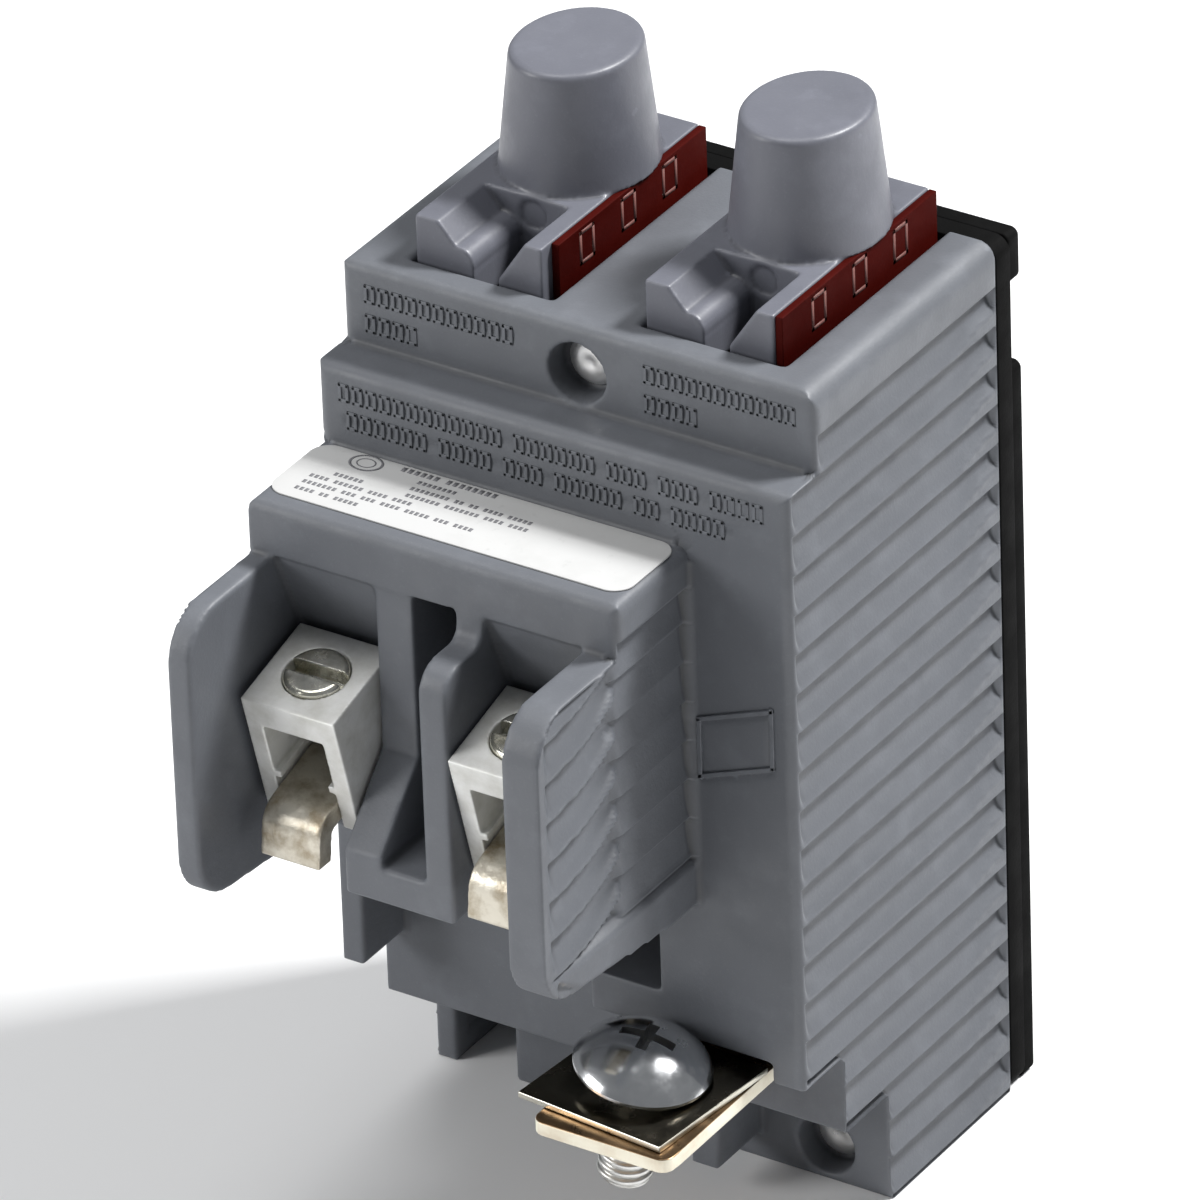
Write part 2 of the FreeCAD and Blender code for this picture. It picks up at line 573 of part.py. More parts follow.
def lug_screw(offset):
    """The slotted clamping screw in the top of a lug."""
    top = LUG_TOP_Z + LUG_SCREW_RISE
    centre = lug_screw_centre()
    shank = Part.makeCylinder(LUG_SCREW_RADIUS, LUG_SCREW_LENGTH, V(centre.x, centre.y, top - LUG_SCREW_LENGTH), UP)
    rounded = round_edges(shank, LUG_SCREW_ROUND, lambda edge: edge.BoundBox.ZMin > top - 0.01)
    point_end = V(centre.x, centre.y, top - LUG_SCREW_LENGTH - LUG_POINT_LENGTH)
    point = Part.makeCylinder(LUG_POINT_RADIUS, LUG_POINT_LENGTH + 0.5, point_end, UP)
    half_slot = LUG_SLOT_WIDTH / 2
    slot = block((centre.x - 4, centre.x + 4), (centre.y - half_slot, centre.y + half_slot),
                 (top - LUG_SLOT_DEPTH, top + 1))
    return shifted(tilt_lug(merge([rounded, point]).cut(slot)), offset)


def load_strap(offset):
    """The tinned strap from the lug into the case, with its front end bent down."""
    slope = math.tan(math.radians(LUG_TILT))
    lip_back = LUG_FRONT_Y + 1.3
    lip_front = lip_back - STRAP_THICK
    start = 34.4
    reach = LUG_WALL_Y + 0.4 - lip_back
    end_top = start + STRAP_THICK + reach * slope
    outline = [
        (lip_front, STRAP_LIP_BOTTOM), (lip_front, start + 0.6), (lip_front + 0.7, start + STRAP_THICK - 0.3),
        (lip_back + 0.4, start + STRAP_THICK), (LUG_WALL_Y + 0.4, end_top), (STRAP_INNER_END, end_top),
        (STRAP_INNER_END, end_top - STRAP_THICK), (LUG_WALL_Y + 0.8, end_top - STRAP_THICK),
        (lip_back + 0.6, start - 0.1), (lip_back, start - 0.7), (lip_back, STRAP_LIP_BOTTOM)]
    return shifted(side_profile(outline, (STRAP_LEFT, STRAP_LEFT + STRAP_WIDTH)), offset)


def line_strap():
    """The tinned line terminal, carried across both poles with one upright tab for each."""
    height = (LINE_STRAP_TOP - LINE_STRAP_THICK, LINE_STRAP_TOP)
    plate = block(LINE_STRAP, (LINE_STRAP_FRONT, BUS_DEPTH[1]), height)
    plate = round_edges(plate, 1.0, lambda edge: runs_along(edge, UP)
                        and edge.BoundBox.YMax < LINE_STRAP_FRONT + 0.1)
    hole = Part.makeCylinder(LINE_HOLE_RADIUS, 4, V(LINE_SCREW_AT[0], LINE_SCREW_AT[1], height[0] - 1), UP)
    tab_right = fixed_contact_left()
    bus = block((tab_right - TAB_THICK, LINE_STRAP[0] + 1), BUS_DEPTH, height)
    tabs = []
    for offset in (0, POLE_PITCH):
        across = (tab_right - TAB_THICK + offset, tab_right + offset)
        tabs.append(block(across, BUS_DEPTH, (height[0], CONTACT_Z + CONTACT_RADIUS + 0.4)))
    return merge([plate, bus] + tabs).cut(hole)


def arm_face():
    """The x of the arm's contact side while the contacts are closed."""
    return ARM_PIVOT[0] - ARM_THICK / 2


def fixed_contact_left():
    """The x where the fixed contact is joined to its tab."""
    return arm_face() - 2 * CONTACT_THICK - CONTACT_GAP


def fixed_contact(offset):
    """The silver button riveted to the line tab."""
    middle = (ARM_LAYER[0] + ARM_LAYER[1]) / 2
    disc = Part.makeCylinder(CONTACT_RADIUS, CONTACT_THICK, V(fixed_contact_left(), middle, CONTACT_Z), CROSSWISE)
    return shifted(disc, offset)


def open_arm(shape):
    """Swing a part of the contact arm from closed to open."""
    shape.rotate(V(ARM_PIVOT[0], 0, ARM_PIVOT[1]), BACKWARDS, -ARM_SWING)
    return shape


def contact_arm(offset):
    """The copper arm that carries the moving contact."""
    x, z = ARM_PIVOT
    half = ARM_THICK / 2
    blade = block((x - half, x + half), ARM_LAYER, (ARM_BOTTOM, ARM_TOP))
    hub = cross_rod(x, z, PIN_RADIUS + 1.2, ARM_LAYER)
    nose = block((x - half, x + 2.6), ARM_LAYER, (ARM_TOP - 1.4, ARM_TOP))
    hole = cross_rod(x, z, PIN_RADIUS + RUNNING_GAP, (ARM_LAYER[0] - 1, ARM_LAYER[1] + 1))
    return shifted(open_arm(merge([blade, hub, nose]).cut(hole)), offset)


def moving_contact(offset):
    """The silver button on the contact arm."""
    middle = (ARM_LAYER[0] + ARM_LAYER[1]) / 2
    disc = Part.makeCylinder(CONTACT_RADIUS, CONTACT_THICK, V(arm_face() - CONTACT_THICK, middle, CONTACT_Z), CROSSWISE)
    return shifted(open_arm(disc), offset)


def arm_pin(offset):
    """The pin that the contact arm swings on."""
    return shifted(cross_rod(ARM_PIVOT[0], ARM_PIVOT[1], PIN_RADIUS, (ARM_LAYER[0] - 0.7, CASE_BACK)), offset)


def bimetal(offset):
    """The upright strip that bends sideways when it is overheated."""
    strip = block((BIMETAL_X, BIMETAL_X + BIMETAL_THICK), BIMETAL_LAYER, (38.9, BIMETAL_TOP))
    return shifted(strip, offset)


def yoke(offset):
    """The steel channel round the bimetal that pulls on a short circuit."""
    front = block((2.6, 6.2), (BIMETAL_LAYER[0] - 1.2, BIMETAL_LAYER[0] - 0.2), YOKE_Z)
    back = block((2.6, 6.2), (BIMETAL_LAYER[1] + 0.1, BIMETAL_LAYER[1] + 1.1), YOKE_Z)
    web = block((2.6, 3.6), (BIMETAL_LAYER[0] - 1.2, BIMETAL_LAYER[1] + 1.1), YOKE_Z)
    pad = block((3.6, BIMETAL_X), (5.2, 7.2), (45.0, 47.0))
    return shifted(merge([front, back, web, pad]), offset)


def trip_latch(offset):
    """The lever that the bimetal pushes to release the arm."""
    x, z = LATCH_PIVOT
    outline = [(x - 2.9, z + 7.0), (x - 1.9, z + 7.0), (x + 1.7, z), (x + 3.4, z - 4.6), (x + 2.6, z - 5.2),
               (x - 1.9, z - 0.6)]
    hole = cross_rod(x, z, LATCH_PIN_RADIUS + RUNNING_GAP, (LATCH_LAYER[0] - 1, LATCH_LAYER[1] + 1))
    return shifted(front_profile(outline, LATCH_LAYER).cut(hole), offset)


def latch_pin(offset):
    """The pin that the trip latch swings on."""
    return shifted(cross_rod(LATCH_PIVOT[0], LATCH_PIVOT[1], LATCH_PIN_RADIUS,
                             (LATCH_LAYER[0] - 0.6, CASE_BACK)), offset)


def braid(offset):
    """The flexible copper braid from the load strap towards the contact arm."""
    path = Part.BSplineCurve()
    path.interpolate([V(7.6, 8.0, 39.9), V(8.0, 10.4, 40.6), V(8.2, 11.2, 38.4), V(9.6, 11.4, 34.6)])
    wire = Part.Wire(path.toShape())
    start = Part.Wire(Part.makeCircle(BRAID_RADIUS, V(7.6, 8.0, 39.9), path.tangent(path.FirstParameter)[0]))
    return shifted(wire.makePipeShell([start], True, True), offset)


def arc_chute(offset):
    """Steel plates on an insulating card beside the contacts."""
    pieces = [block(CHUTE_X, (CHUTE_LAYER[1] - CHUTE_CARD_THICK, CHUTE_LAYER[1]),
                    (CHUTE_BOTTOM, CHUTE_BOTTOM + CHUTE_PITCH * CHUTE_PLATES))]
    for index in range(CHUTE_PLATES):
        low = CHUTE_BOTTOM + 0.8 + index * CHUTE_PITCH
        pieces.append(block(CHUTE_X, (CHUTE_LAYER[0], CHUTE_LAYER[1] - 0.1), (low, low + CHUTE_PLATE_THICK)))
    return shifted(merge(pieces), offset)


def lock_plate():
    """The thin square plate under the line screw's head."""
    x, y = LINE_SCREW_AT
    half = LOCK_PLATE_SIZE / 2
    low = LINE_STRAP_TOP + 0.05
    plate = block((x - half, x + half), (y - half, y + half), (low, low + LOCK_PLATE_THICK))
    hole = Part.makeCylinder(LINE_HOLE_RADIUS, 4, V(x, y, low - 1), UP)
    plate = plate.cut(hole)
    plate.rotate(V(x, y, low), UP, LOCK_PLATE_TURN)
    return plate


def line_screw():
    """The round-headed line screw, leaning in its clearance hole."""
    x, y = LINE_SCREW_AT
    seat = V(x, y, LINE_HEAD_SEAT)
    neck = Part.makeCylinder(LINE_NECK_RADIUS, LINE_NECK_LENGTH, V(x, y, LINE_HEAD_SEAT - LINE_NECK_LENGTH), UP)
    threaded = LINE_SCREW_LENGTH - LINE_NECK_LENGTH
    shank = Part.makeCylinder(LINE_SCREW_RADIUS, threaded, V(x, y, LINE_HEAD_SEAT - LINE_SCREW_LENGTH), UP)
    rim = Part.makeCylinder(LINE_HEAD_RADIUS, LINE_HEAD_RIM, seat, UP)
    ball = (LINE_HEAD_RADIUS ** 2 + LINE_HEAD_RISE ** 2) / (2 * LINE_HEAD_RISE)
    dome = Part.makeSphere(ball, V(x, y, LINE_HEAD_SEAT + LINE_HEAD_RIM + LINE_HEAD_RISE - ball))
    above = block((x - 9, x + 9), (y - 9, y + 9), (LINE_HEAD_SEAT + LINE_HEAD_RIM, LINE_HEAD_SEAT + 9))
    slot = block((x - 3.3, x + 3.3), (y - 0.55, y + 0.55), (LINE_HEAD_SEAT + 1.3, LINE_HEAD_SEAT + 9))
    cross = block((x - 0.55, x + 0.55), (y - 2.4, y + 2.4), (LINE_HEAD_SEAT + 1.1, LINE_HEAD_SEAT + 9))
    solid = merge([shank, neck, rim, dome.common(above)]).cut([slot, cross])
    solid.rotate(seat, BACKWARDS, LINE_SCREW_LEAN)
    return solid


def export(name, shape):
    """Write one named node, moved to the breaker's own origin."""
    moved = shape.copy()
    moved.translate(ORIGIN_SHIFT)
    moved.exportStep("parts/" + name + ".step")


def build():
    """Make every node of the breaker."""
    os.makedirs("parts", exist_ok=True)
    export("case", case())
    export("cover", cover())
    export("rail_plate_upper", rail_plate((RAIL_NOTCH_TOP, COVER_TOP)))
    export("rail_plate_lower", rail_plate((0, RAIL_NOTCH_BOTTOM)))
    export("partition", partition())
    export("rivets", rivets())
    export("rating_label", label())
    export("line_strap", line_strap())
    export("lock_plate", lock_plate())
    export("line_screw", line_screw())
    per_pole = (
        ("button", button), ("button_spring", button_spring), ("fixed_contact", fixed_contact),
        ("contact_arm", contact_arm), ("moving_contact", moving_contact), ("arm_pin", arm_pin),
        ("bimetal", bimetal), ("yoke", yoke), ("trip_latch", trip_latch), ("latch_pin", latch_pin),
        ("braid", braid), ("arc_chute", arc_chute),
    )
    for name, maker in per_pole:
        export(name + "_1", maker(0))
        export(name + "_2", maker(POLE_PITCH))
    export("off_flag_1", off_flag(FLAG_FRONTS[0], 0))
    export("off_flag_2", off_flag(FLAG_FRONTS[1], POLE_PITCH))
    for name, maker in (("lug", lug), ("lug_screw", lug_screw), ("load_strap", load_strap)):
        export(name + "_1", maker(0))
        export(name + "_2", maker(LUG_PITCH))


build()
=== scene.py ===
"""Looks of the twin push-button breaker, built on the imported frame.

Lengths named here are millimetres in the design frame: X across from the case's left side, Y backwards
from the upper front face, Z up from the underside. at() turns them into the row frame in metres.
"""
import json
import math

import bmesh
import bpy
from mathutils import Matrix, Vector


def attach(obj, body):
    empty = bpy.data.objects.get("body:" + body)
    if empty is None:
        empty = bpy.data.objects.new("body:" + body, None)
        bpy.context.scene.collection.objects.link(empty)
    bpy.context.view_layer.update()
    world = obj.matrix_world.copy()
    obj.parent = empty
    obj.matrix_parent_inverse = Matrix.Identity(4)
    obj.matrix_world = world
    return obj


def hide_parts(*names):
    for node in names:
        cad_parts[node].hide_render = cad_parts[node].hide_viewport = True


MM = 0.001
DESIGN_ORIGIN = Vector((19.0, 2.05, 0.0))
ALONG_Y = Vector((0, 1, 0))
ALONG_Z = Vector((0, 0, 1))

# Sizes shared with the frame
CASE_WIDTH = 38.0
CASE_BACK = 23.7
COVER_BACK = 25.6
RIVET_END = 26.8
CASE_TOP = 68.85
LEDGE_Z = 62.5
MAIN_FACE_Y = -3.5
HOOD_RIGHT = 29.8
HOOD_FACE_Y = -12.5
HOOD_TOP = 56.3
POLE_PITCH = 18.5
LUG_PITCH = 16.8
LUG_WALL_Y = -7.2
STRAP_LEFT = 3.65
STRAP_WIDTH = 4.8
STRAP_THICK = 1.6
STRAP_TOP = 38.57
STRAP_BEND = (-15.9, 33.85)
STRAP_BEND_RADIUS = 0.5
STRAP_END_Z = 32.0
STRAP_INNER_END = 9.0
LUG_TILT = math.radians(15)
LINE_SCREW_LEAN = math.radians(11)
LINE_SCREW_SEAT = (28.05, -8.6, 17.0)
LINE_SCREW_TURN = math.radians(12)
HEAD_RADIUS = 4.9
HEAD_RISE = 2.3
HEAD_RIM = 0.5
SLOT_TOP = 6.0
THREAD_RADIUS = 2.0
THREAD_CORE = 1.7
THREAD_PITCH = 0.7
THREAD_LENGTH = 9.4
LABEL_THICK = 0.12
MARK_WIDTH = 0.86
MARK_HEIGHT = 1.45
MARK_STROKE = 0.27
MARK_STEP = 1.12
WORD_GAP = 0.75
MARK_RISE = 0.07
FLAG_FACE_X = 15.25
FLAG_MARK_FOOT = 69.2
RIVET_PLACES = ((19.0, 65.1, 1.7), (32.5, 2.8, 9.3), (14.9, 48.5, -0.6))

# How finely the fused pieces are meshed
CASE_VOXEL = 0.22
BUTTON_VOXEL = 0.15
LUG_VOXEL = 0.1
STRAP_VOXEL = 0.12
SCREW_VOXEL = 0.07

# Ribs on the side faces
RIB_PITCH = 3.1
RIB_TOP = 65.3
RIB_DEPTH = 0.8
RIB_SOFT_EDGE = 0.9
RIB_LIP = 0.93
LIP_NICK = 0.14
LIP_SPLIT_Y = 16.5
HOOD_RIB_TOP = 53.4
LEAF_FRONT = -21.6
LEAF_TIP = -12.7
LEAF_DEPTH = 0.85
BOARD_SINK = 0.35
BOARD_RIB = 0.35
HOOD_RIB_FOOT = 31.2


def at(x, y, z):
    """A point of the design frame in the row frame, in metres."""
    return (Vector((x, y, z)) - DESIGN_ORIGIN) * MM


def design(point):
    """A point of the row frame in design millimetres."""
    return point / MM + DESIGN_ORIGIN


def smooth_step(low, high, value):
    """0 below low, 1 above high, and a smooth rise between them."""
    share = min(max((value - low) / (high - low), 0.0), 1.0)
    return share * share * (3 - 2 * share)


# ---------------------------------------------------------------- materials

class Surface:
    """A node material built step by step round one Principled shader."""

    def __init__(self, name, colour, roughness, metallic=0.0):
        self.material = bpy.data.materials.new(name)
        self.material.use_nodes = True
        self.nodes = self.material.node_tree.nodes
        self.links = self.material.node_tree.links
        self.shader = self.nodes["Principled BSDF"]
        self.shader.inputs["Metallic"].default_value = metallic
        self.shader.inputs["Roughness"].default_value = roughness
        self.coordinates = self.nodes.new("ShaderNodeTexCoord").outputs["Object"]
        self.base = (*colour, 1)
        self.colour = None
        self.height = None

    def stretched(self, scale):
        """The object coordinates scaled differently along each axis."""
        mapping = self.nodes.new("ShaderNodeMapping")
        mapping.inputs["Scale"].default_value = scale
        self.links.new(self.coordinates, mapping.inputs["Vector"])
        return mapping.outputs["Vector"]

    def speckle(self, scale, detail=4.0, stretch=(1, 1, 1), rough=0.6):
        """A noise pattern from 0 to 1; scale counts its features per metre."""
        texture = self.nodes.new("ShaderNodeTexNoise")
        texture.inputs["Scale"].default_value = scale
        texture.inputs["Detail"].default_value = detail
        texture.inputs["Roughness"].default_value = rough
        self.links.new(self.stretched(stretch), texture.inputs["Vector"])
        return texture.outputs["Fac"]

    def band(self, value, low, high, start=0.0, end=1.0):
        """value mapped from low..high onto start..end, and held there beyond them."""
        ramp = self.nodes.new("ShaderNodeMapRange")
        for socket, number in zip(("From Min", "From Max", "To Min", "To Max"), (low, high, start, end)):
            ramp.inputs[socket].default_value = number
        self.links.new(value, ramp.inputs["Value"])
        return ramp.outputs["Result"]

    def times(self, first, second):
        """The product of two patterns."""
        maths = self.nodes.new("ShaderNodeMath")
        maths.operation = "MULTIPLY"
        self.links.new(first, maths.inputs[0])
        self.links.new(second, maths.inputs[1])
        return maths.outputs["Value"]

    def tint(self, colour, amount):
        """Blend the colour so far towards another one by a pattern."""
        mix = self.nodes.new("ShaderNodeMix")
        mix.data_type = "RGBA"
        self.links.new(amount, mix.inputs["Factor"])
        if self.colour is None:
            mix.inputs[6].default_value = self.base
        else:
            self.links.new(self.colour, mix.inputs[6])
        mix.inputs[7].default_value = (*colour, 1)
        self.colour = mix.outputs[2]

    def edges(self, low, high):
        """1 on convex edges and 0 on flats, from the mesh's own pointiness."""
        geometry = self.nodes.new("ShaderNodeNewGeometry")
        return self.band(geometry.outputs["Pointiness"], low, high)

    def roughness(self, pattern, low, high):
        """Let the roughness follow a pattern."""
        self.links.new(self.band(pattern, 0.3, 0.7, low, high), self.shader.inputs["Roughness"])

    def bump(self, pattern, strength, depth_mm):
        """Add a small relief; later ones lie on top of earlier ones."""
        node = self.nodes.new("ShaderNodeBump")
        node.inputs["Strength"].default_value = strength
        node.inputs["Distance"].default_value = depth_mm * MM
        self.links.new(pattern, node.inputs["Height"])
        if self.height is not None:
            self.links.new(self.height, node.inputs["Normal"])
        self.height = node.outputs["Normal"]

    def done(self):
        """Wire colour and relief into the shader and return the material."""
        self.links.new(self.colour, self.shader.inputs["Base Color"])
        if self.height is not None:
            self.links.new(self.height, self.shader.inputs["Normal"])
        return self.material


def moulded(name, colour, roughness, grain=0.04, wear_and_highlight=0.35, shine=0.5):
    """Matt moulded plastic: cloudy tone, fine grain, convex edges lightened partly as rubbing wear and partly
    as painted highlight, and painted shade darkening the concave corners.
    """
    surface = Surface(name, colour, roughness)
    surface.shader.inputs["Specular IOR Level"].default_value = shine
    lighter = [min(part * 1.9 + 0.004, 1) for part in colour]
    darker = [part * 0.55 for part in colour]
    surface.tint(darker, surface.band(surface.speckle(90, 5), 0.35, 0.75, 0.0, 0.28))
    surface.tint(lighter, surface.band(surface.speckle(260, 6), 0.52, 0.8, 0.0, 0.22))
    surface.tint(lighter, surface.band(surface.speckle(5200, 2), 0.6, 0.8, 0.0, 0.16))
    # convex edges, broken up by noise, are lightened: partly rubbing wear, partly a painted highlight
    # standing for edge glints
    edge_wear_and_highlight = surface.times(surface.edges(0.515, 0.60), surface.band(surface.speckle(700, 5), 0.35, 0.65))
    surface.tint(lighter, surface.band(edge_wear_and_highlight, 0, 1, 0, wear_and_highlight))
    # painted shade: concave corners and creases darkened towards a quarter of the colour
    surface.tint([part * 0.25 for part in colour], surface.band(surface.edges(0.494, 0.45), 0, 1, 0, 0.9))
    surface.roughness(surface.speckle(400, 4), roughness - 0.07, roughness + 0.08)
    surface.bump(surface.speckle(150, 3), 0.5, 0.06)
    surface.bump(surface.speckle(3800, 3), 0.5, grain)
    return surface.done()


def plated(name, colour, roughness, stretch=(1, 1, 1), blotch=(0.4, 0.36, 0.3), blotches=0.3, scratch=0.01,
           metallic=1.0):
    """Metal with a drawn or sawn grain, dull blotches and a painted highlight on its convex edges."""
    surface = Surface(name, colour, roughness, metallic)
    surface.tint(blotch, surface.band(surface.speckle(450, 6), 0.42, 0.7, 0.0, blotches))
    surface.tint(blotch, surface.band(surface.edges(0.48, 0.40), 0, 1, 0, 0.6))
    # painted highlight: convex edges lightened towards a brighter copy of the colour
    edge_highlight = [min(part * 1.35, 1) for part in colour]
    surface.tint(edge_highlight, surface.band(surface.edges(0.52, 0.62), 0, 1, 0, 0.6))
    surface.roughness(surface.speckle(600, 5), roughness - 0.06, roughness + 0.12)
    surface.bump(surface.speckle(1600, 4, stretch), 0.6, scratch)
    surface.bump(surface.speckle(300, 3), 0.4, scratch)
    return surface.done()


def woven_copper():
    """Fine bare wires laid side by side."""
    surface = Surface("woven_copper", (0.62, 0.30, 0.17), 0.35, metallic=1.0)
    surface.tint((0.25, 0.11, 0.06), surface.band(surface.speckle(2600, 2, (1, 1, 0.3)), 0.45, 0.6, 0, 0.8))
    surface.bump(surface.speckle(2600, 2, (1, 1, 0.3)), 0.8, 0.12)
    return surface.done()


def paper():
    """Slightly yellowed white label stock."""
    surface = Surface("paper", (0.46, 0.46, 0.455), 0.6)
    surface.tint((0.36, 0.36, 0.35), surface.band(surface.speckle(300, 6), 0.5, 0.8, 0.0, 0.35))
    surface.tint((0.25, 0.25, 0.25), surface.band(surface.speckle(1500, 6), 0.62, 0.8, 0.0, 0.3))
    surface.bump(surface.speckle(500, 4), 0.3, 0.03)
    return surface.done()


def make_materials():
    """Every finish in the scene, by name."""
    return {
        "case_grey": moulded("case_grey", (0.113, 0.120, 0.134), 0.5),
        "button_grey": moulded("button_grey", (0.120, 0.124, 0.146), 0.42, grain=0.02, wear_and_highlight=0.3),
        "cover_black": moulded("cover_black", (0.004, 0.004, 0.004), 0.7, wear_and_highlight=0.3, shine=0.04),
        "fibre": moulded("fibre", (0.10, 0.085, 0.06), 0.7),
        "flag_red": moulded("flag_red", (0.040, 0.002, 0.001), 0.6, wear_and_highlight=0.2, shine=0.04),
        "mark_grey": moulded("mark_grey", (0.17, 0.07, 0.06), 0.5, wear_and_highlight=0.0),
        "label_white": paper(),
        "label_ink": moulded("label_ink", (0.16, 0.16, 0.17), 0.6, wear_and_highlight=0.0),
        "rivet_steel": plated("rivet_steel", (0.82, 0.82, 0.82), 0.3, metallic=0.8),
        "terminal_brass": plated("terminal_brass", (0.34, 0.22, 0.12), 0.30, (1, 0.1, 1),
                                 (0.12, 0.07, 0.035), 0.7),
        "terminal_edge": plated("terminal_edge", (0.80, 0.75, 0.62), 0.5, (0.1, 0.1, 1),
                                (0.5, 0.38, 0.25), 0.5, 0.03, metallic=0.3),
        "dark_steel": plated("dark_steel", (0.13, 0.115, 0.085), 0.2, (1, 0.1, 1), (0.06, 0.05, 0.035), 0.5),
        # the lock plate's cut sides and bevels: bare sheared metal, made lighter also as a painted highlight
        # along its edges
        "sheared_edge_and_highlight": plated("sheared_edge_and_highlight", (0.62, 0.60, 0.52), 0.3),
        "zinc_screw": plated("zinc_screw", (0.80, 0.81, 0.82), 0.16, (1, 1, 1),
                             (0.45, 0.46, 0.48), 0.3, 0.004),
        "zinc_thread": plated("zinc_thread", (0.66, 0.66, 0.64), 0.34, (1, 1, 1), (0.3, 0.28, 0.24), 0.6),
        # a darker copy of the screw's steel: painted shade for the inside of the screw's recess
        "recess_painted_shade": plated("recess_painted_shade", (0.42, 0.43, 0.44), 0.3, blotches=0.5),
        "lug_screw_steel": plated("lug_screw_steel", (0.78, 0.77, 0.70), 0.2, (1, 1, 1),
                                  (0.30, 0.27, 0.15), 0.7, 0.02, metallic=0.9),
        "lug_aluminium": plated("lug_aluminium", (0.74, 0.74, 0.72), 0.5, (1, 1, 0.08),
                                (0.36, 0.35, 0.29), 0.4, 0.03, metallic=0.4),
        "tinned_copper": plated("tinned_copper", (0.64, 0.60, 0.51), 0.36, (1, 1, 1),
                                (0.24, 0.18, 0.10), 0.95, 0.08, metallic=0.6),
        "spring_steel": plated("spring_steel", (0.55, 0.55, 0.55), 0.3),
        "silver": plated("silver", (0.82, 0.81, 0.78), 0.3),
        "copper": plated("copper", (0.72, 0.36, 0.20), 0.32, (1, 1, 0.1), (0.3, 0.14, 0.08), 0.4),
        "bimetal": plated("bimetal", (0.50, 0.46, 0.40), 0.34, (1, 1, 0.1)),
        "braid": woven_copper(),
    }


# ---------------------------------------------------------------- mesh helpers

def cad_copy(node):
    """A bmesh of a CAD node in row metres, with its seams joined."""
    shape = bmesh.new()
    shape.from_mesh(FRAME["nodes"][node].data)
    bmesh.ops.remove_doubles(shape, verts=shape.verts, dist=0.002 * MM)
    return shape


def prism(outline, low, high, axis):
    """A closed bmesh: an outline of design points pushed along "x", "y" or "z" from low to high."""
    order = {
        "x": lambda a, b, c: at(c, a, b),
        "y": lambda a, b, c: at(a, c, b),
        "z": lambda a, b, c: at(a, b, c),
    }
    place = order[axis]
    shape = bmesh.new()
    near = [shape.verts.new(place(a, b, low)) for a, b in outline]
    far = [shape.verts.new(place(a, b, high)) for a, b in outline]
    shape.faces.new(near)
    shape.faces.new(far[::-1])
    for index in range(len(outline)):
        after = (index + 1) % len(outline)
        shape.faces.new((near[after], near[index], far[index], far[after]))
    bmesh.ops.recalc_face_normals(shape, faces=shape.faces)
    return shape


def block(across, depth, height):
    """A closed box from its (low, high) limits in design millimetres."""
    corners = [(across[0], depth[0]), (across[1], depth[0]), (across[1], depth[1]), (across[0], depth[1])]
    return prism(corners, height[0], height[1], "z")


def joined(shapes):
    """One bmesh that holds several."""
    total = bmesh.new()
    for shape in shapes:
        mesh = bpy.data.meshes.new("part")
        shape.to_mesh(mesh)
        total.from_mesh(mesh)
        bpy.data.meshes.remove(mesh)
        shape.free()
    return total


def turned(profile, segments=96):
    """A millimetre solid of revolution about Z; its (radius, height) points begin and end on the axis."""
    shape = bmesh.new()
    rings = []
    for radius, height in profile:
        if radius < 1e-6:
            rings.append([shape.verts.new((0, 0, height))])
            continue
        ring = []
        for step in range(segments):
            turn = 2 * math.pi * step / segments
            ring.append(shape.verts.new((radius * math.cos(turn), radius * math.sin(turn), height)))
        rings.append(ring)
    for lower, upper in zip(rings, rings[1:]):
        for step in range(segments):
            after = (step + 1) % segments
            corners = [lower[step % len(lower)], lower[after % len(lower)],
                       upper[after % len(upper)], upper[step % len(upper)]]
            corners = list(dict.fromkeys(corners))
            if len(corners) > 2:
                shape.faces.new(corners)
    bmesh.ops.recalc_face_normals(shape, faces=shape.faces)
    return shape


def threaded(radius, core, pitch, length, segments=64):
    """A rod about Z from z = 0 down to -length, in millimetres, with a real helical thread."""
    shape = bmesh.new()
    rows = int(length / pitch * 10)
    rings = []
    for row in range(rows + 1):
        depth = length * row / rows
        taper = min(1.0, (length - depth) / 0.6 + 0.35)
        ring = []
        for step in range(segments):
            angle = 2 * math.pi * step / segments
            phase = (depth / pitch + step / segments) % 1.0
            crest = 1 - abs(2 * phase - 1)
            reach = core + (radius - core) * min(1.0, crest * 1.6) * taper
            ring.append(shape.verts.new((reach * math.cos(angle), reach * math.sin(angle), -depth)))
        rings.append(ring)
    for lower, upper in zip(rings, rings[1:]):
        for step in range(segments):
            after = (step + 1) % segments
            shape.faces.new((lower[step], lower[after], upper[after], upper[step]))
    shape.faces.new(rings[0])
    shape.faces.new(rings[-1][::-1])
    bmesh.ops.recalc_face_normals(shape, faces=shape.faces)
    return shape


def placed(shape, centre, axis, turn=0.0):
    """Move a millimetre shape drawn about Z onto a design point, with its Z along the axis."""
    lean = ALONG_Z.rotation_difference(Vector(axis)).to_matrix().to_4x4()
    matrix = Matrix.Translation(at(*centre)) @ lean @ Matrix.Rotation(turn, 4, "Z") @ Matrix.Scale(MM, 4)
    shape.transform(matrix)
    return shape


def piece(name, shape, body, finish, replaces=()):
    """Make an object from a bmesh, give it its finish and let it ride on its body."""
    mesh = bpy.data.meshes.new(name)
    shape.to_mesh(mesh)
    shape.free()
    thing = bpy.data.objects.new(name, mesh)
    bpy.context.scene.collection.objects.link(thing)
    mesh.materials.clear()
    mesh.materials.append(FINISH[finish])
    for polygon in mesh.polygons:
        polygon.use_smooth = True
        polygon.material_index = 0
    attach(thing, body)
    if replaces:
        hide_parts(*replaces)
    return thing


